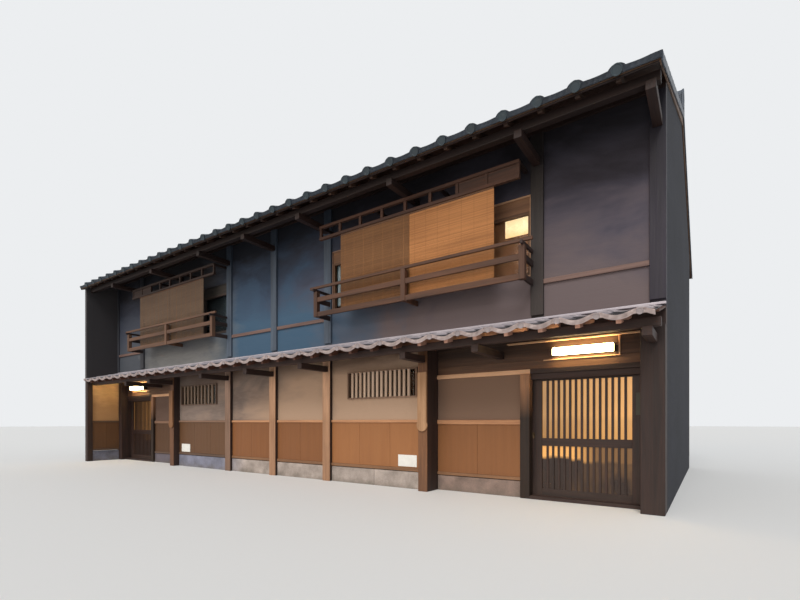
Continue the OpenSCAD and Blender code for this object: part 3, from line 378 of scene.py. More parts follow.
# Pale warm plaster of painted lamp light, dimming towards the foot, and dark above the pent roof: painted
# shade
plaster("wingPlaster", (250, 205, 145), (214, 170, 116),
        (((150, 116, 82), "Z", 2.3, 1.3, 0.9), ((60, 57, 58), "Z", 2.45, 2.451, 1.0)))
plaster("rearUpperPlaster", (104, 101, 100), (84, 82, 82))
plaster("rearLowerPlaster", (132, 116, 102), (106, 92, 82))
# The party walls' dark plaster: painted shade
plaster("wallPlaster", (46, 47, 54), (35, 36, 42))
plaster("earthFloor", (120, 112, 102), (96, 90, 82))
plaster("mortar", (198, 190, 194), (164, 157, 162), grit=0.3)
# Darker in the recess beside the doors and on the left half: painted shade
stoneware("stone", (184, 170, 160), (138, 127, 118),
          (((0.62, 0.52, 0.48), "Y", plasterY + 0.17, plasterY + 0.171),
           ((0.48, 0.58, 0.85), "X", -1.0, -2.0)))
clay("roofTile", (60, 70, 82), (36, 43, 53))
clay("discTile", (40, 56, 64), (26, 36, 43))
# Paler copies of the roof tile for the pent roof's tiles, aprons and discs: painted light
clay("pentTiles", (192, 184, 187), (152, 146, 152), 0.95)
clay("eaveTile", (224, 206, 200), (184, 168, 166))
clay("pentDisc", (166, 154, 154), (136, 126, 126))
# Darker left of 3.85 m, and duller and bluer on the left half: painted shade
splitBamboo("bamboo", (204, 142, 86), (160, 106, 60),
            (((0.44, 0.45, 0.46), "X", 3.86, 3.84), ((0.6, 0.8, 1.3), "X", 0.1, -0.1)))
paint("bambooThread", (160, 112, 70), 0.8)
paint("darkMetal", (58, 54, 52), 0.4, 0.7)
paint("bronze", (86, 70, 52), 0.4, 0.8)
paint("lockMetal", (56, 55, 46), 0.5, 0.3)
paint("plateWhite", (226, 224, 216), 0.5)
# Screens behind the glass: painted light where a room is lit, painted shade where it is dark
paint("screenBrown", (180, 114, 76), 0.7)
paint("screenDark", (92, 52, 30), 0.8)
paint("screenPale", (196, 200, 208), 0.7)
paint("screenDull", (52, 58, 66), 0.8)
paint("screenLeft", (100, 68, 48), 0.8)
glass("clearGlass", (214, 222, 220), 1.18)
doorPane("litDoor", (210, 152, 84), (40, 28, 22), 0.62)
litPane("litWindow", (255, 226, 182), (240, 184, 124), 4.28, 0.2, 1.5)
litPane("lampGlow", (255, 222, 160), (255, 214, 148), 2.2, 0.2, 26.0)
print("stage: finishes")


# Places: pairs of ends along each axis
def past(start, span):
    # Both ends of a span that is measured from a start
    return (start + span[0], start + span[1])


def fromWall(front, back):
    # Depths from the front plaster face
    return past(plasterY, (front, back))


def around(middle, width):
    return (middle - width / 2, middle + width / 2)


def both(places):
    # The same boards on both halves of the house
    return [((side * x[0], side * x[1])[::side], y, z) for x, y, z in places for side in (1, -1)]


def boardRow(x, y, z, width, gap):
    # Boards side by side along the street
    count = max(1, round((x[1] - x[0]) / width))
    step = (x[1] - x[0]) / count
    return [((x[0] + i * step + gap / 2, x[0] + (i + 1) * step - gap / 2), y, z) for i in range(count)]


# Shapes
def plank(bm, x, y, z):
    made = bmesh.ops.create_cube(bm, size=1)["verts"]
    bmesh.ops.scale(bm, vec=(x[1] - x[0], y[1] - y[0], z[1] - z[0]), verts=made)
    bmesh.ops.translate(bm, verts=made, vec=((x[0] + x[1]) / 2, (y[0] + y[1]) / 2, (z[0] + z[1]) / 2))
    return made


def rod(bm, x, y, z, radius, segments):
    # A round rod along the street
    made = bmesh.ops.create_cone(bm, cap_ends=True, segments=segments, radius1=radius, radius2=radius,
                                 depth=x[1] - x[0])["verts"]
    bmesh.ops.rotate(bm, verts=made, cent=(0, 0, 0), matrix=Matrix.Rotation(math.pi / 2, 3, "Y"))
    bmesh.ops.translate(bm, verts=made, vec=((x[0] + x[1]) / 2, y, z))


def plate(bm, radius, segments, tall=1.0):
    # A round face that looks along the depth of the house, and is an oval when it is made taller
    made = bmesh.ops.create_circle(bm, cap_ends=True, segments=segments, radius=radius)["verts"]
    bmesh.ops.scale(bm, vec=(1, tall, 1), verts=made)
    bmesh.ops.rotate(bm, verts=made, cent=(0, 0, 0), matrix=Matrix.Rotation(math.pi / 2, 3, "X"))
    return made


def cutOff(bm, point, normal):
    # Removes what lies past a plane
    bmesh.ops.bisect_plane(bm, geom=bm.verts[:] + bm.edges[:] + bm.faces[:], plane_co=point,
                           plane_no=normal, clear_outer=True)


def closeHoles(bm):
    bmesh.ops.holes_fill(bm, edges=[e for e in bm.edges if e.is_boundary])


def layGrain(mesh):
    # Each loose part gets coordinates along its longest side and a tone of its own
    bm = bmesh.new()
    bm.from_mesh(mesh)
    grain = bm.verts.layers.float_vector.new("grain")
    tone = bm.verts.layers.float.new("tone")
    bm.verts.index_update()
    seen = [False] * len(bm.verts)
    for seed in bm.verts:
        if seen[seed.index]:
            continue
        seen[seed.index] = True
        part, queue = [], [seed]
        while queue:
            vert = queue.pop()
            part.append(vert)
            for edge in vert.link_edges:
                other = edge.other_vert(vert)
                if not seen[other.index]:
                    seen[other.index] = True
                    queue.append(other)
        size = [max(v.co[i] for v in part) - min(v.co[i] for v in part) for i in range(3)]
        order = sorted(range(3), key=lambda i: -size[i])
        shift = Vector([luck.uniform(0, 50) for i in range(3)])
        shade = luck.random()
        for vert in part:
            vert[grain] = Vector([vert.co[i] for i in order]) + shift
            vert[tone] = shade
    bm.to_mesh(mesh)
    bm.free()


def settle(piece):
    # Puts the result of a piece's modifiers into its mesh
    result = bpy.data.meshes.new_from_object(
        piece.evaluated_get(bpy.context.evaluated_depsgraph_get()))
    piece.modifiers.clear()
    piece.data = result


def repeat(piece, count, step):
    rows = piece.modifiers.new("rows", "ARRAY")
    rows.count = count
    rows.use_relative_offset = False
    rows.use_constant_offset = True
    rows.constant_offset_displace = step


def newPiece(name, bm):
    mesh = bpy.data.meshes.new(name)
    bm.to_mesh(mesh)
    bm.free()
    piece = bpy.data.objects.new(name, mesh)
    scene.collection.objects.link(piece)
    return piece


def finishPiece(piece, finish, slot, replaces=(), ease=0.0, place=None, body="house", smooth=0):
    # Eased edges, grain, place, finish and body, in that order
    if ease:
        edge = piece.modifiers.new("ease", "BEVEL")
        edge.width = ease
        edge.segments = 2
        edge.limit_method = "ANGLE"
        edge.angle_limit = math.radians(35)
    if piece.modifiers:
        settle(piece)
    layGrain(piece.data)
    if place is not None:
        piece.data.transform(place)
    if smooth:
        piece.data.shade_smooth()
        piece.data.set_sharp_from_angle(angle=math.radians(smooth))
    piece.data.materials.clear()
    piece.data.materials.append(looks[finish])
    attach(piece, body)
    if replaces:
        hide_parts(*replaces)


def boards(name, places, *values, **named):
    # One piece made of boards
    bm = bmesh.new()
    for place in places:
        plank(bm, *place)
    finishPiece(newPiece(name, bm), *values, **named)


def easedCopy(node, finish, slot, ease, reshape=None):
    # A CAD node's own shape as single boards with eased edges
    bm = bmesh.new()
    bm.from_mesh(nodes[node].data)
    bmesh.ops.remove_doubles(bm, verts=bm.verts, dist=0.00001)
    bmesh.ops.dissolve_limit(bm, angle_limit=math.radians(0.5), verts=bm.verts, edges=bm.edges)
    if reshape:
        reshape(bm)
    first, *rest = node.split("_")
    name = first + "".join(word.capitalize() for word in rest)
    finishPiece(newPiece(name, bm), finish, slot, [node], ease)


def coat(node, finish):
    # A CAD node that stays gets its finish
    for slot in nodes[node].material_slots:
        slot.material = looks[finish]


# Walls and floors keep their CAD shapes
for node, finish in (("upper_plaster", "upperPlaster"), ("lower_plaster", "lowerPlaster"),
                     ("party_wall_left", "wallPlaster"), ("party_wall_right", "wallPlaster"),
                     ("rear_wall_lower", "rearLowerPlaster"), ("rear_wall_upper", "rearUpperPlaster"),
                     ("ground_floor", "earthFloor"), ("side_wing", "wingPlaster")):
    coat(node, finish)
print("stage: walls")

# Timbers whose CAD shape is right: finish, slot and eased edge
easedTimbers = {
    "front_posts": ("timberDark", "timber", 0.006),
    "deep_posts": ("timberDark", "timber_dark", 0.006),
    "end_posts": ("timberDark", "timber_dark", 0.006),
    "door_posts": ("doorPostWood", "timber", 0.006),
    "wall_beam": ("timberDark", "timber_dark", 0.006),
    "bracket_arms": ("timberDark", "timber_dark", 0.005),
    "eave_beams": ("timberDark", "timber_dark", 0.006),
    "upper_posts": ("upperPostWood", "timber", 0.005),
    "upper_rails": ("upperRailWood", "timber", 0.004),
    "wall_plates": ("timberDark", "timber", 0.005),
    "rear_timbers": ("timber", "timber", 0.005),
    "door_sills": ("timberDark", "timber_dark", 0.003),
    "balcony_posts": ("railWood", "timber", 0.005),
    "balcony_rails": ("railWood", "timber", 0.005),
    "balcony_returns": ("returnWood", "timber", 0.005),
    "blind_frames": ("blindFrameWood", "timber", 0.004),
    "hanging_boards": ("signWood", "sign_wood", 0.004),
    "notice_plates": ("plateWhite", "plate_white", 0.002),
}
facing = {"thick": 0.016, "reach": 0.001}


def setBack(bm):
    # Leaves room for the facing boards in front of posts
    front = min(v.co.y for v in bm.verts)
    for vert in bm.verts:
        if vert.co.y < front + facing["reach"]:
            vert.co.y += facing["thick"]


for node, values in easedTimbers.items():
    easedCopy(node, *values, setBack if node in ("front_posts", "deep_posts") else None)
# The facing boards give the posts' fronts a paler finish than their dark sides: painted light on the fronts,
# painted shade on the sides
for name, node, places, finish in (
        ("postFacings", "front_posts", (-posts["frontX"], 0, posts["frontX"]), "postWood"),
        ("deepPostFacings", "deep_posts", (-posts["deepX"], posts["deepX"]), "deepPostWood")):
    low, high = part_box(node)
    width = 2 * (high.x - places[-1])
    boards(name, [(around(x, width), (low.y, low.y + facing["thick"]), (low.z, high.z)) for x in places],
           finish, "timber", ease=0.004)

# Above the doors: boards with thin battens over them, the soffit of the recess and the lintel
overDoor = {"rows": 4, "low": 2.01, "high": 2.56, "thick": 0.04, "x": (4.10, 7.32), "gap": 0.002,
            "soffitX": 5.40, "soffitZ": (2.41, 2.43), "lintelLow": 1.94, "lintelOut": 0.04, "lintelX": 5.76,
            "battenX": (5.96, 7.03), "battenZ": (2.125, 2.143), "trimBack": 0.1995, "headGap": 0.0005}


def belowLintel(bm):
    # Leaves the door heads, since the lintels are boards of their own
    cutOff(bm, (0, 0, overDoor["lintelLow"] - overDoor["headGap"]), (0, 0, 1))
    closeHoles(bm)


easedCopy("door_heads", "timberDark", "timber_dark", 0.003, belowLintel)
print("stage: timbers")

# Wainscot: low and high ends of the base rails, of the rails above them, and of both beside the doors
wainscot = {"boardW": 0.66, "gap": 0.003, "front": 0.008, "backing": 0.1, "railOut": 0.03,
            "base": (0.312, 0.37), "dado": (1.18, 1.23), "entryBase": (0.268, 0.32),
            "entryDado": (1.15, 1.225), "entryBoards": (0.192, 0.27), "entryBack": 0.28}


def rails(name, z, entryZ, *values):
    # Rails of one height in the bays, on the wing wall and beside the doors
    out = wainscot["railOut"]
    places = both([(x, fromWall(-out, wainscot["backing"]), z) for x in bays])
    places.append(((-halfLength, -halfLength + wing["thick"] + out), fromWall(-wing["out"], 0), z))
    places += both([(entryX, fromWall(entryY - out, wainscot["entryBack"]), entryZ)])
    boards(name, places, *values)


rails("baseRails", wainscot["base"], wainscot["entryBase"], "baseRailWood", "timber", ["lower_rails"], 0.005)
rails("dadoRails", wainscot["dado"], wainscot["entryDado"], "dadoWood", "timber", (), 0.005)
boardSize = (wainscot["boardW"], wainscot["gap"])
boardY = fromWall(-wainscot["front"], wainscot["backing"])
boardZ = (wainscot["base"][1], wainscot["dado"][0])
places = [board for x in bays for board in boardRow(x, boardY, boardZ, *boardSize)]
places += boardRow(entryX, fromWall(*wainscot["entryBoards"]),
                   (wainscot["entryBase"][1], wainscot["entryDado"][0]), *boardSize)
wingX = (-halfLength, -halfLength + wing["thick"] + wing["boardOut"])
places = both(places) + [(wingX, fromWall(*y), boardZ) for y in wing["boards"]]
boards("wainscotBoards", places, "wainscotWood", "wainscot_boards", ["wainscot"], 0.002)

rowHeight = (overDoor["high"] - overDoor["low"]) / overDoor["rows"]
rowEnds = [(overDoor["low"] + i * rowHeight, overDoor["low"] + (i + 1) * rowHeight - overDoor["gap"])
           for i in range(overDoor["rows"])]
rowY = fromWall(entryY, entryY + overDoor["thick"])
boards("entryBoards", both([(overDoor["x"], rowY, z) for z in rowEnds]),
       "entryWood", "timber_dark", ["entry_boards"], 0.002)
# The soffit edge and batten take the pale trim finish: painted lamp light
boards("entryTrim", both([((overDoor["soffitX"], overDoor["x"][1]), fromWall(0.12, overDoor["trimBack"]),
                           overDoor["soffitZ"]),
                          (overDoor["battenX"], fromWall(0.18, overDoor["trimBack"]), overDoor["battenZ"])]),
       "trimWood", "timber", ease=0.003)
lintelY = (plasterY + entryY - overDoor["lintelOut"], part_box("door_heads")[1].y)
lintelZ = (overDoor["lintelLow"], overDoor["low"])
# The lintel is two boards: pale with painted lamp light over the wall beside the door, dark with painted
# shade over the door
boards("recessLintels", both([((overDoor["x"][0], overDoor["lintelX"]), lintelY, lintelZ)]),
       "lintelWood", "timber", ease=0.003)
boards("doorLintels", both([((overDoor["lintelX"], overDoor["x"][1]), lintelY, lintelZ)]),
       "timberDark", "timber_dark", ease=0.003)

floorBoard = {"x": (-7.45, 7.45), "y": (0.12, 7.18), "z": (2.56, 2.68), "width": 0.3, "gap": 0.003}
boards("floorBoards", boardRow(floorBoard["x"], fromWall(*floorBoard["y"]), floorBoard["z"],
                               floorBoard["width"], floorBoard["gap"]),
       "soffitWood", "floor_boards", ["upper_floor"], 0.002)

stoneBase = {"z": (0, 0.30), "entryZ": (0, 0.256), "y": (-0.02, 0.12), "entryY": (0.18, 0.28),
             "joint": 0.005, "blockW": 1.1}
blockSize = (stoneBase["blockW"], stoneBase["joint"])
places = [block for x in bays for block in boardRow(x, fromWall(*stoneBase["y"]), stoneBase["z"], *blockSize)]
places += boardRow(entryX, fromWall(*stoneBase["entryY"]), stoneBase["entryZ"], *blockSize)
places = both(places) + boardRow((-halfLength, halfLength), fromWall(*rearY), stoneBase["z"], *blockSize)
places.append(((-halfLength, -halfLength + wing["thick"]), fromWall(-wing["out"], 0), stoneBase["z"]))
boards("stoneBlocks", places, "stone", "base_stone", ["stone_base"], 0.008)
print("stage: boards and stone")


def outerFrame(low, high, width):
    y = (low.y, high.y)
    return ([((low.x, high.x), y, (z, z + width)) for z in (low.z, high.z - width)]
            + [((x, x + width), y, (low.z + width, high.z - width)) for x in (low.x, high.x - width)])


# Latticed windows, with fewer bars on the left and a wider gap at the far end
lattice = {"frame": 0.025, "bars": {1: 14, -1: 9}, "barW": 0.05, "barY": (0.005, 0.04), "open": 0.125,
           "glassX": (2.18, 3.80), "glassZ": (1.635, 2.165)}
for side, word in sides:
    node = "window_lattice_" + word.lower()
    low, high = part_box(node)
    near, far = sorted((abs(low.x), abs(high.x)))
    boards("latticeFrame" + word, outerFrame(low, high, lattice["frame"]),
           "latticeFrameWood", "lattice_wood", [node], 0.003)
    first = near + lattice["frame"]
    count = lattice["bars"][side]
    pitch = (far - lattice["frame"] - lattice["open"] - lattice["barW"] / 2 - first) / count
    y = past(low.y, lattice["barY"])
    z = (low.z + lattice["frame"], high.z - lattice["frame"])
    boards("latticeBars" + word, [(around(side * (first + (i + 1) * pitch), lattice["barW"]), y, z)
                                  for i in range(count)], "latticeWood", "lattice_wood", ease=0.003)

# Sliding sashes: stiles and rails of each sash, in the outer frame
sashWindow = {"frame": 0.025, "stile": 0.03, "rail": 0.045, "set": 0.015, "board": 0.24, "gap": 0.001}


def sashes(low, high, count, board):
    edge, stile, rail = sashWindow["frame"], sashWindow["stile"], sashWindow["rail"]
    y = (low.y + sashWindow["set"], high.y - sashWindow["set"])
    top = high.z - (board or edge)
    step = (high.x - low.x - 2 * edge) / count
    made = []
    for i in range(count):
        x0 = low.x + edge + i * step
        x1 = x0 + step
        made += [((x0 + stile, x1 - stile), y, (z, z + rail)) for z in (low.z + edge, top - rail)]
        made += [((x, x + stile), y, (low.z + edge, top))
                 for x in (x0 + sashWindow["gap"], x1 - stile - sashWindow["gap"])]
    return made


for side, word in sides:
    node = "upper_window_" + word.lower()
    low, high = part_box(node)
    boards("upperSashes" + word, sashes(low, high, 4, sashWindow["board"]),
           "sashWood", "window_wood", [node], 0.003)
    boards("upperFrame" + word, outerFrame(low, high, sashWindow["frame"]),
           "frameWood", "window_wood", ease=0.003)
    boards("transomBoard" + word, [((low.x + sashWindow["frame"], high.x - sashWindow["frame"]),
                                    (low.y + sashWindow["set"], high.y - sashWindow["set"]),
                                    (high.z - sashWindow["board"], high.z - sashWindow["frame"]))],
           "boardWood", "window_wood", ease=0.003)
rearWindow = {"x": (2.6, 4.42), "heights": ((0.9, 2.1), (3.4, 4.64)), "paneT": 0.006}
rearLow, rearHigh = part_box("rear_windows")
places = []
for x in (rearWindow["x"], (-rearWindow["x"][1], -rearWindow["x"][0])):
    for z in rearWindow["heights"]:
        corners = (Vector((x[0], rearLow.y, z[0])), Vector((x[1], rearHigh.y, z[1])))
        places += outerFrame(*corners, sashWindow["frame"]) + sashes(*corners, 2, 0)
boards("rearSashes", places, "sashWood", "window_wood", ["rear_windows"], 0.003)

# Sheets of glass, and plain screens close behind them that paint what shows of the rooms: painted light for
# lit rooms and painted shade for dark ones
glassY = fromWall(0.09, 0.096)
screenY = fromWall(0.108, 0.116)
upperLow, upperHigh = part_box("upper_window_right")
upperX, upperZ = (upperLow.x, upperHigh.x), (upperLow.z, upperHigh.z)
panes = [(lattice["glassX"], glassY, lattice["glassZ"]), (upperX, glassY, upperZ)]
panes += [(rearWindow["x"], (rearLow.y - rearWindow["paneT"], rearLow.y), z) for z in rearWindow["heights"]]
boards("windowPanes", both(panes), "clearGlass", "glass", ["window_glass"])
screens = {
    "litScreen": ("litWindow", "glass", [((5.38, 5.81), (4.10, 4.42))]),
    "brownScreens": ("screenBrown", "window_wood",
                     [((4.83, 5.38), (3.43, 4.42)), ((5.38, 5.81), (3.43, 4.10))]),
    "latticeScreenRight": ("screenDark", "window_wood", [(lattice["glassX"], lattice["glassZ"])]),
    "latticeScreenLeft": ("screenLeft", "window_wood", [((-3.80, -2.18), lattice["glassZ"])]),
    "dullScreen": ("screenDull", "window_wood", [((-upperHigh.x, -upperLow.x), upperZ)]),
    "paleScreen": ("screenPale", "window_wood", [((1.80, 1.87), (3.55, 4.40))]),
}
for name, (finish, slot, spans) in screens.items():
    boards(name, [(x, screenY, z) for x, z in spans], finish, slot)
print("stage: windows")

# Sliding doors: stiles, rails, bars, a pull and a lock plate on each leaf
leaf = {"stile": 0.15, "leadStile": 0.205, "topRail": 0.04, "midRail": 0.12, "midZ": 0.88,
        "bottomRail": 0.115, "bars": 14, "barW": 0.034, "barY": (0.001, 0.022)}
pull = {"radius": 0.024, "tall": 2.2, "z": 0.98, "out": 0.0015, "rim": 0.005,
        "dish": 0.002, "dishDeep": 0.001}
lock = {"width": 0.056, "y": (-0.003, 0.001), "z": (1.29, 1.60)}
for side, word in sides:
    body = "door_" + word.lower()
    low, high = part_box(body)
    stiles = (leaf["leadStile"], leaf["stile"])[::side]
    inner = (low.x + stiles[0], high.x - stiles[1])
    y = (low.y, high.y)
    openings = ((low.z + leaf["bottomRail"], leaf["midZ"] - leaf["midRail"] / 2),
                (leaf["midZ"] + leaf["midRail"] / 2, high.z - leaf["topRail"]))
    pitch = (inner[1] - inner[0]) / (leaf["bars"] + 1)
    places = [((low.x, inner[0]), y, (low.z, high.z)), ((inner[1], high.x), y, (low.z, high.z)),
              (inner, y, (low.z, openings[0][0])), (inner, y, (openings[0][1], openings[1][0])),
              (inner, y, (openings[1][1], high.z))]
    places += [(around(inner[0] + (i + 1) * pitch, leaf["barW"]), past(low.y, leaf["barY"]), z)
               for z in openings for i in range(leaf["bars"])]
    boards("doorLeaf" + word, places, "doorWood", "door_wood", [body], 0.0025, body=body)
    coat("door_glass_" + word.lower(), "litDoor")

    # The pull is let into the stile that leads when the door opens
    pullX = side * (min(abs(low.x), abs(high.x)) + leaf["stile"] / 2)
    lockX = side * (max(abs(low.x), abs(high.x)) - leaf["stile"] / 2)
    bm = bmesh.new()
    cup = plate(bm, pull["radius"], 32, pull["tall"])
    bmesh.ops.translate(bm, verts=cup, vec=(pullX, low.y - pull["out"], pull["z"]))
    bmesh.ops.inset_individual(bm, faces=bm.faces[:], thickness=pull["rim"], depth=0)
    bmesh.ops.inset_individual(bm, faces=[f for f in bm.faces if len(f.verts) > 4], thickness=pull["dish"],
                               depth=-pull["dishDeep"])
    finishPiece(newPiece("doorPull" + word, bm), "bronze", "door_wood", body=body, smooth=40)
    boards("lockPlate" + word, [(around(lockX, lock["width"]), past(low.y, lock["y"]), lock["z"])],
           "lockMetal", "door_wood", ease=0.001, body=body)
print("stage: doors")

# Blinds of split bamboo: slats, threads and the battens at both ends
blind = {"split": 1.555, "shift": 0.065, "gap": 0.006, "slat": 0.0036, "pitch": 0.008, "batten": 0.03,
         "threads": 7, "threadW": 0.004, "threadT": 0.0016, "threadY": (-0.0052, 0.0036)}
for side, word in sides:
    node = "blinds_" + word.lower()
    low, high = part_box(node)
    near, far = (low.x + blind["shift"], high.x) if side > 0 else (high.x, low.x)
    middle = near + side * blind["split"]
    midY = (low.y + high.y) / 2
    half = side * blind["gap"] / 2
    widths = [sorted((near, middle - half)), sorted((middle + half, far))]
    cover = (low.z + blind["batten"], high.z - blind["batten"])
    bm = bmesh.new()
    for x in widths:
        rod(bm, x, midY, cover[0] + blind["pitch"] / 2, blind["slat"], 6)
    slats = newPiece("blindSlats" + word, bm)
    repeat(slats, int((high.z - low.z - 2 * blind["batten"]) / blind["pitch"]), (0, 0, blind["pitch"]))
    finishPiece(slats, "bamboo", "bamboo", [node])
    boards("blindThreads" + word,
           [(around(x[0] + (x[1] - x[0]) * (i + 0.5) / blind["threads"], blind["threadW"]),
             (midY + y, midY + y + blind["threadT"]), cover)
            for x in widths for i in range(blind["threads"]) for y in blind["threadY"]],
           "bambooThread", "bamboo")
    boards("blindBattens" + word, [(x, (low.y, high.y), (z, z + blind["batten"]))
                                   for x in widths for z in (low.z, cover[1])],
           "soffitWood", "bamboo", ease=0.002)
print("stage: blinds")

# Lamps: a bracket, the back plate with end caps, and a rounded shade
lamp = {"length": 0.87, "cap": 0.012, "capFront": 0.004, "plate": 0.02, "inset": 0.008, "bracketGap": 0.035,
        "bracketW": 0.022, "bracketY": (-0.03, -0.001), "bracketDrop": 0.035, "armY": (-0.022, -0.008),
        "armZ": (-0.03, -0.015)}
lampLow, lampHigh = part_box("lamps")
backY = lampHigh.y
plateY = backY - lamp["plate"]
lampZ = (lampLow.z, lampHigh.z)
x = (lampHigh.x - lamp["length"], lampHigh.x)
bracketX = x[1] + lamp["bracketGap"]
# The brackets take the pale trim finish: painted lamp light
boards("lampBrackets", both([
    ((bracketX, bracketX + lamp["bracketW"]), past(backY, lamp["bracketY"]),
     (lampLow.z - lamp["bracketDrop"], overDoor["soffitZ"][0])),
    ((x[1], bracketX), past(backY, lamp["armY"]), past(lampHigh.z, lamp["armZ"]))]),
       "trimWood", "lamp_shade", ease=0.002)
capY = (lampLow.y + lamp["capFront"], plateY)
boards("lampCases", both([(x, (plateY, backY), lampZ)] + [((end, end + lamp["cap"]), capY, lampZ)
                                                          for end in (x[0], x[1] - lamp["cap"])]),
       "darkMetal", "lamp_shade", ["lamps"], 0.003)
boards("lampShades", both([((x[0] + lamp["cap"], x[1] - lamp["cap"]), (lampLow.y, plateY),
                            (lampLow.z + lamp["inset"], lampHigh.z - lamp["inset"]))]),
       "lampGlow", "lamp_shade", ease=0.02, smooth=40)
print("stage: lamps")

# Roofs are built flat, with x along the street, y up the slope from the edge of the boards
# and z away from them, then laid on the slope
mainRoof = {"slope": 0.42, "reach": 0.98, "eaveTop": 5.275, "over": 0.04, "boardT": 0.03,
            "rafterW": 0.06, "rafterH": 0.08, "rafterFrom": 0.026, "inner": 0.04, "courses": 17,
            "boards": "soffitWood", "rafters": "soffitWood"}
# The pent roof's rafters take the pale finish of painted lamp light
pentRoof = {"slope": 0.264, "reach": 0.93, "eaveTop": 2.70 - 0.264 * 0.93, "over": 0.04,
            "boardT": 0.024, "rafterW": 0.06, "rafterH": 0.085, "rafterFrom": 0.0, "inner": 0.06,
            "courses": 3, "boards": "pentBoardWood", "rafters": "rafterWood"}
roofBoard = {"width": 0.18, "gap": 0.003, "endGap": 0.002, "lengths": ((2.0, 3.6), (3.0, 4.2), (3.0, 4.2))}


def onSlope(roof):
    return (Matrix.Translation((0, plasterY - roof["reach"], roof["eaveTop"]))
            @ Matrix.Rotation(math.atan(roof["slope"]), 4, "X"))


def slopeLength(roof, run):
    return run / math.cos(math.atan(roof["slope"]))


def deckPieces(name, roof, run, node, turn=Matrix.Identity(4), half=halfLength):
    # Boards along the street on rafters that run up the slope
    flat = math.cos(math.atan(roof["slope"]))
    length = slopeLength(roof, run)
    rows = round(length / roofBoard["width"])
    places = []
    for row in range(rows):
        y = (row * length / rows, (row + 1) * length / rows - roofBoard["gap"])
        start = -half
        for reach in [luck.uniform(*ends) for ends in roofBoard["lengths"]] + [3 * half]:
            end = min(half, start + reach)
            places.append(((start, end - roofBoard["endGap"]), y, (-roof["boardT"] * flat, 0)))
            start = end
    place = turn @ onSlope(roof)
    boards(name + "Boards", places, roof["boards"], "roof_boards", [node], 0.002, place)
    y = (slopeLength(roof, roof["rafterFrom"]), slopeLength(roof, roof["reach"] - roof["inner"]))
    z = (-(roof["boardT"] + roof["rafterH"]) * flat, -roof["boardT"] * flat)
    boards(name + "Rafters", [(around(-roofHalf + i * tilePitch, roof["rafterW"]), y, z)
                              for i in range(1, tileRolls)], roof["rafters"], "roof_boards", (), 0.003, place)


ridgeRun = -plasterY + mainRoof["reach"]
deckPieces("frontRoof", mainRoof, ridgeRun, "roof_deck_front", half=roofHalf)
deckPieces("rearRoof", mainRoof, ridgeRun, "roof_deck_rear", halfTurn, roofHalf)
deckPieces("pentRoof", pentRoof, pentRoof["reach"] - pentRoof["inner"], "pent_deck")
print("stage: roof boards")

# One clay tile of each roof: a round roll on the left and a pan that runs under the next roll.
# The eave tiles close each pan with a hanging apron and each roll with a round disc.
tile = {"thick": 0.016, "lap": 0.065, "drop": 0.02, "rollSteps": 12, "panSteps": 8, "under": 0.02,
        "apronT": 0.012, "discT": 0.02, "joint": 0.01, "rim": 0.012,
        "apronTop": -0.02, "dishRim": 0.004, "dish": 0.004, "spare": 2}
mainTile = {"pan": 0.03, "hollow": 0.006, "hollowHalf": 0.12, "rollHalf": 0.095, "rollH": 0.046,
            "apron": 0.028, "apronHalf": None, "discR": 0.064, "lens": 0.0,
            "rollX": tilePitch - roofHalf, "rolls": tileRolls - 1,
            "finishes": ("roofTile", "roofTile", "discTile")}
# The pent roof's tiles, aprons and discs take the paler finishes of painted light
pentTile = {"pan": 0.03, "hollow": 0.016, "hollowHalf": 0.1215, "rollHalf": 0.095, "rollH": 0.025,
            "apron": 0.048, "apronHalf": 0.165, "discR": 0.04, "lens": 0.015,
            "rollX": tilePitch / 2 - roofHalf, "rolls": tileRolls,
            "finishes": ("pentTiles", "eaveTile", "pentDisc"), "innerHollowShade": 0.3,
            "wingGap": 0.0005, "lastPart": 1 / 3}


def tileTop(x, shape):
    # Height of the tiles' upper face above the boards, x from the middle of a roll
    x = abs((x + tilePitch / 2) % tilePitch - tilePitch / 2)
    if x > shape["rollHalf"]:
        return shape["pan"] - shape["hollow"] * max(0, 1 - ((tilePitch / 2 - x) / shape["hollowHalf"]) ** 2)
    radius = (shape["rollHalf"] ** 2 + shape["rollH"] ** 2) / (2 * shape["rollH"])
    return shape["pan"] + shape["rollH"] - radius + math.sqrt(max(0, radius ** 2 - x ** 2))


def tileCuts(shape):
    # Where the profile turns, from the left foot of a roll to that of the next one
    half = shape["rollHalf"]
    panW = tilePitch - 2 * half
    roll = [-half * math.cos(math.pi * i / tile["rollSteps"]) for i in range(tile["rollSteps"] + 1)]
    return roll + [half + panW * (i + 1) / tile["panSteps"] for i in range(tile["panSteps"])]


def tileStrip(cuts, move):
    # A strip with a column of points at each cut, moved point by point
    bm = bmesh.new()
    bmesh.ops.create_grid(bm, x_segments=len(cuts) - 1, y_segments=1, size=0.5)
    for vert in bm.verts:
        move(vert, cuts[round((vert.co.x + 0.5) * (len(cuts) - 1))])
    return bm


def trimEnds(piece, ends, shape, more=None):
    # Cuts the rows off square at both ends, closes the cuts and lowers a roll that is cut through
    bm = bmesh.new()
    bm.from_mesh(piece.data)
    for x, side in zip(ends, (-1, 1)):
        cutOff(bm, (x, 0, 0), (side, 0, 0))
    closeHoles(bm)
    if shape is mainTile:
        for vert in bm.verts:
            if abs(vert.co.x) > roofHalf - shape["rollHalf"] and vert.co.z > tile["apronTop"]:
                vert.co.z -= tileTop(vert.co.x - shape["rollX"], shape) - shape["pan"]
    if more:
        more(bm)
    bm.to_mesh(piece.data)
    bm.free()


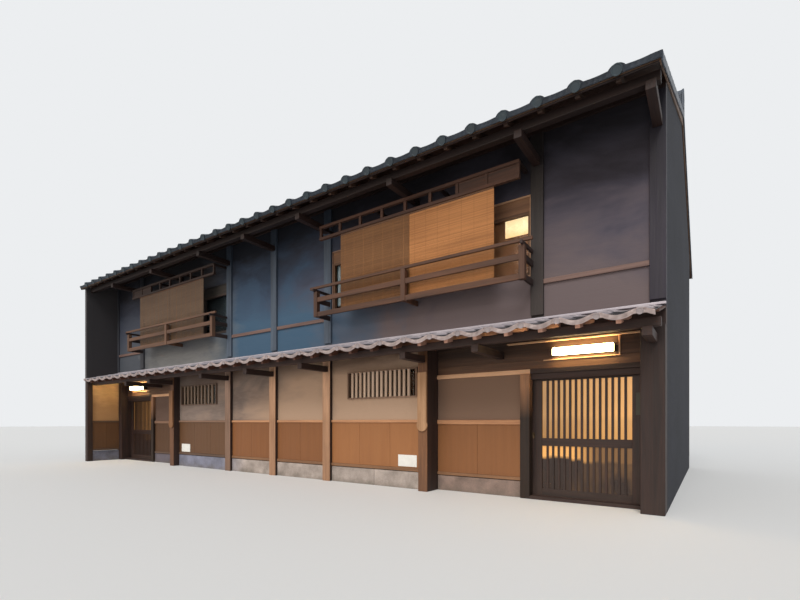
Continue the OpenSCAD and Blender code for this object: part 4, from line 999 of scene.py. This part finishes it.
def tilePieces(name, roof, shape, run, node, ends, turn=Matrix.Identity(4)):
    start = -slopeLength(roof, roof["over"])
    step = (slopeLength(roof, run) - start) / roof["courses"]
    place = turn @ onSlope(roof)
    firstX = shape["rollX"] - tile["spare"] * tilePitch

    def shapeTile(vert, x):
        share = vert.co.y + 0.5
        fall = tile["drop"] * share * (1 + tile["lap"] / step)
        height = tileTop(x, shape) if x < tilePitch - shape["rollHalf"] else shape["pan"]
        vert.co = (firstX + x, start + share * (step + tile["lap"]), height - fall)

    def endAtTop(bm):
        cutOff(bm, (0, slopeLength(roof, run), 0), (0, 1, 0))
        if "innerHollowShade" in shape:
            # Past the eave the painted shade in the pans is weaker, so they are only a little darker than the
            # rolls
            soot = bm.verts.layers.float["soot"]
            for vert in bm.verts:
                if vert.co.y > start + step:
                    vert[soot] *= shape["innerHollowShade"]

    bm = tileStrip(tileCuts(shape) + [tilePitch - shape["rollHalf"] + tile["under"]], shapeTile)
    # The hollow of each pan is marked for its painted shade
    soot = bm.verts.layers.float.new("soot")
    for vert in bm.verts:
        vert[soot] = 1 if abs(vert.co.x - firstX - tilePitch / 2) < shape["hollowHalf"] else 0
    bmesh.ops.solidify(bm, geom=bm.faces[:], thickness=tile["thick"])
    bmesh.ops.recalc_face_normals(bm, faces=bm.faces[:])
    sheet = newPiece(name + "Tiles", bm)
    repeat(sheet, tileRolls + tile["spare"], (tilePitch, 0, 0))
    repeat(sheet, roof["courses"], (0, step, 0))
    settle(sheet)
    trimEnds(sheet, ends, shape, endAtTop)
    finishPiece(sheet, shape["finishes"][0], "roof_tile", [node], place=place, smooth=40)
    aprons(name, shape, start, ends, place)
    discs(name, shape, start, place)


def aprons(name, shape, start, ends, place):
    middle = tilePitch / 2

    def hangApron(vert, x):
        across = (x - middle) * (1 - tile["joint"] / tilePitch)
        hang = max(0, 1 - (across / shape["apronHalf"]) ** 2) if shape["apronHalf"] else 1
        lens = shape["lens"] * max(0, 1 - (across / shape["hollowHalf"]) ** 2)
        height = tileTop(across + middle, shape) - lens if vert.co.y > 0 else -shape["apron"] * hang
        vert.co = (shape["rollX"] - 3 * middle + across, start, height)

    bm = tileStrip(sorted({round(x % tilePitch, 6) for x in tileCuts(shape)} | {tilePitch}), hangApron)
    bmesh.ops.solidify(bm, geom=bm.faces[:], thickness=tile["apronT"])
    bmesh.ops.recalc_face_normals(bm, faces=bm.faces[:])
    front = min(v.co.y for v in bm.verts)
    bmesh.ops.translate(bm, verts=bm.verts[:], vec=(0, start - tile["apronT"] - front, 0))
    row = newPiece(name + "Aprons", bm)
    repeat(row, tileRolls + tile["spare"], (tilePitch, 0, 0))
    settle(row)
    trimEnds(row, ends, shape)
    finishPiece(row, shape["finishes"][1], "roof_tile", place=place, smooth=40)


def discs(name, shape, start, place):
    bm = bmesh.new()
    plate(bm, shape["discR"], 28)
    face = bm.faces[:]
    if face[0].normal.y > 0:
        bmesh.ops.reverse_faces(bm, faces=face)
    body = bmesh.ops.extrude_face_region(bm, geom=face)
    bmesh.ops.translate(bm, verts=[v for v in body["geom"] if isinstance(v, bmesh.types.BMVert)],
                        vec=(0, -tile["discT"], 0))
    bmesh.ops.recalc_face_normals(bm, faces=bm.faces[:])
    bm.normal_update()
    for thickness, depth in ((tile["rim"], 0), (tile["dishRim"], -tile["dish"])):
        outer = [f for f in bm.faces if f.normal.y < -0.9 and len(f.verts) > 4]
        bmesh.ops.inset_region(bm, faces=outer, thickness=thickness, depth=depth)
    bmesh.ops.translate(bm, verts=bm.verts[:],
                        vec=(shape["rollX"], start, shape["pan"] + shape["rollH"] - shape["discR"]))
    row = newPiece(name + "Discs", bm)
    repeat(row, shape["rolls"], (tilePitch, 0, 0))
    finishPiece(row, shape["finishes"][2], "roof_tile", place=place, smooth=35)


# Where the tiled slopes end: just inside the roof's edge, at the wing wall and past the last roll
mainEnds = (edgeGap - roofHalf, roofHalf - edgeGap)
pentEnds = (-halfLength + wing["thick"] + pentTile["wingGap"],
            pentTile["rollX"] + (tileRolls - 1 + pentTile["lastPart"]) * tilePitch)
tilePieces("frontRoof", mainRoof, mainTile, ridgeRun, "roof_tiles_front", mainEnds)
tilePieces("rearRoof", mainRoof, mainTile, ridgeRun, "roof_tiles_rear", mainEnds, halfTurn)
tilePieces("pentRoof", pentRoof, pentTile, pentRoof["reach"], "pent_tiles", pentEnds)
print("stage: tiles")

# Mortar line where the pent tiles meet the wall
flashing = {"y": (-0.045, -0.0005), "z": (-0.072, -0.037)}
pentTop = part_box("pent_tiles")[1].z
boards("pentFlashing", [((-halfLength + wing["thick"], halfLength), fromWall(*flashing["y"]),
                         past(pentTop, flashing["z"]))],
       "mortar", "roof_tile", ease=0.008)

# Ridge: mortar under stepped courses of flat tiles, round cap tiles and the ends
ridge = {"tileL": 0.3, "rows": 5, "rowH": 0.046, "halfLow": 0.150, "halfTop": 0.1, "capR": 0.09,
         "capLip": 0.008, "capLow": 0.03, "capStart": 0.03, "capLap": 0.01, "capBand": 0.045,
         "gap": 0.003, "endT": 0.035, "height": 0.33, "endR": 0.125, "endHalf": 0.15, "endDrop": 0.0005,
         "endZ": (-0.11, 0.2), "mortarHalf": 0.125, "mortarZ": (-0.09, 0.02), "tilt": 0.008, "inner": 0.004,
         "rowZ": (0.006, -0.004)}
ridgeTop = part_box("ridge")[1].z
bedTop = ridgeTop - ridge["height"]
span = roofHalf - ridge["endT"]
count = round(2 * span / ridge["tileL"])
step = 2 * span / count
boards("ridgeMortar", [((-span, span), (-ridge["mortarHalf"], ridge["mortarHalf"]),
                        past(bedTop, ridge["mortarZ"]))],
       "mortar", "roof_tile", ease=0.006)
bm = bmesh.new()
for row in range(ridge["rows"]):
    half = ridge["halfLow"] + (ridge["halfTop"] - ridge["halfLow"]) * row / (ridge["rows"] - 1)
    z = bedTop + row * ridge["rowH"]
    for side in (1, -1):
        made = plank(bm, (-span + ridge["gap"], -span + step), (ridge["inner"], half),
                     (z + ridge["rowZ"][0], z + ridge["rowH"] + ridge["rowZ"][1]))
        for vert in made:
            if vert.co.y > half / 2:
                vert.co.z -= ridge["tilt"]
        bmesh.ops.scale(bm, vec=(1, side, 1), verts=made)
bmesh.ops.recalc_face_normals(bm, faces=bm.faces[:])
courses = newPiece("ridgeCourses", bm)
repeat(courses, count, (step, 0, 0))
finishPiece(courses, "roofTile", "roof_tile", ["ridge"], 0.005)
bm = bmesh.new()
for radius, x in ((ridge["capR"] - ridge["capLip"], (ridge["capStart"], step + ridge["capLap"])),
                  (ridge["capR"], (0.0, ridge["capBand"]))):
    rod(bm, past(-span, x), 0, ridgeTop - ridge["capR"], radius, 24)
cutOff(bm, (0, 0, ridgeTop - ridge["capR"] - ridge["capLow"]), (0, 0, -1))
closeHoles(bm)
caps = newPiece("ridgeCaps", bm)
repeat(caps, count, (step, 0, 0))
finishPiece(caps, "roofTile", "roof_tile", smooth=35)
bm = bmesh.new()
for side in (1, -1):
    x = sorted((side * span, side * (roofHalf - edgeGap)))
    plank(bm, x, (-ridge["endHalf"], ridge["endHalf"]), past(bedTop, ridge["endZ"]))
    rod(bm, x, 0, ridgeTop - ridge["endR"] - ridge["endDrop"], ridge["endR"], 40)
finishPiece(newPiece("ridgeEnds", bm), "roofTile", "roof_tile", ease=0.006)
print("stage: ridge")

# Fascia boards of both eaves, each a thin strip with painted light on its edge over a darker board
fascia = {"thick": 0.024, "strip": 0.022, "setBack": 0.003}
low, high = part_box("fascia_boards")
for name, z, inset, finish, replaced in (
        ("fasciaStrips", (high.z - fascia["strip"], high.z), 0.0, "fasciaWood", ["fascia_boards"]),
        ("fasciaBoards", (low.z, high.z - fascia["strip"]), fascia["setBack"], "timberDark", [])):
    boards(name, [((low.x, high.x), (low.y + inset, low.y + fascia["thick"]), z),
                  ((low.x, high.x), (high.y - fascia["thick"], high.y - inset), z)],
           finish, "fascia_wood", replaced, 0.002)

# Gable boards, thinned so that the edge tiles hang in front of them
gable = {"out": 0.02}
verge = {"thick": 0.018, "z": (-0.075, 0.031), "lap": 0.01, "nose": 0.1, "drop": 0.014}


def thinGable(bm):
    for vert in bm.verts:
        if abs(vert.co.x) > halfLength + gable["out"]:
            vert.co.x = math.copysign(halfLength + gable["out"], vert.co.x)


# The gable boards take the fascia strips' finish of painted light and shade
easedCopy("gable_boards", "fasciaWood", "fascia_wood", 0.003, thinGable)
start = -slopeLength(mainRoof, mainRoof["over"])
step = (slopeLength(mainRoof, ridgeRun) - start) / mainRoof["courses"]
for turn, word in ((Matrix.Identity(4), "front"), (halfTurn, "rear")):
    bm = bmesh.new()
    for side in (1, -1):
        x = sorted((side * (roofHalf - verge["thick"]), side * roofHalf))
        for vert in plank(bm, x, (start, start + step + verge["lap"]), verge["z"]):
            if vert.co.y > start + verge["nose"]:
                vert.co.z -= verge["drop"]
    edgeTiles = newPiece(word + "VergeTiles", bm)
    repeat(edgeTiles, mainRoof["courses"], (0, step, 0))
    finishPiece(edgeTiles, "roofTile", "roof_tile", ease=0.004, place=turn @ onSlope(mainRoof))
print("stage: gables")

# Plain floor, pale surroundings and soft light
studio = {"floor": (226, 224, 220), "floorHalf": 140, "world": (214, 222, 232), "worldPower": 0.6,
          "backdrop": (236, 238, 240),
          "suns": {"high": ((44, 0, 14), 2.0, 28, (255, 255, 255)),
                   "low": ((82, 0, -12), 1.0, 45, (255, 232, 206))}}
bm = bmesh.new()
bmesh.ops.create_grid(bm, x_segments=1, y_segments=1, size=studio["floorHalf"])
floor = newPiece("floor", bm)
Finish("floorPaint").finish(tint(*studio["floor"]), 0.9)
floor.data.materials.append(looks["floorPaint"])

for word, (turn, power, soft, colour) in studio["suns"].items():
    sun = bpy.data.objects.new(word + "Sun", bpy.data.lights.new(word + "Sun", "SUN"))
    scene.collection.objects.link(sun)
    sun.rotation_euler = [math.radians(a) for a in turn]
    sun.data.energy = power
    sun.data.angle = math.radians(soft)
    sun.data.color = tint(*colour)[:3]

# The world lights the scene softly, and shows a paler backdrop to the camera and in reflections
world = bpy.data.worlds.new("studio")
scene.world = world
world.use_nodes = True
sky = world.node_tree
sky.nodes.clear()
rays = sky.nodes.new("ShaderNodeLightPath")
choice = sky.nodes.new("ShaderNodeMixShader")
seen = rays.outputs["Is Transmission Ray"]
for ray in ("Is Glossy Ray", "Is Camera Ray"):
    either = sky.nodes.new("ShaderNodeMath")
    either.operation = "MAXIMUM"
    sky.links.new(rays.outputs[ray], either.inputs[0])
    sky.links.new(seen, either.inputs[1])
    seen = either.outputs["Value"]
sky.links.new(seen, choice.inputs[0])
for index, (colour, power) in enumerate(((studio["world"], studio["worldPower"]), (studio["backdrop"], 1.0))):
    light = sky.nodes.new("ShaderNodeBackground")
    light.inputs["Color"].default_value = tint(*colour)
    light.inputs["Strength"].default_value = power
    sky.links.new(light.outputs[0], choice.inputs[index + 1])
sky.links.new(choice.outputs[0], sky.nodes.new("ShaderNodeOutputWorld").inputs["Surface"])
scene.view_settings.view_transform = "Standard"
print("stage: studio")
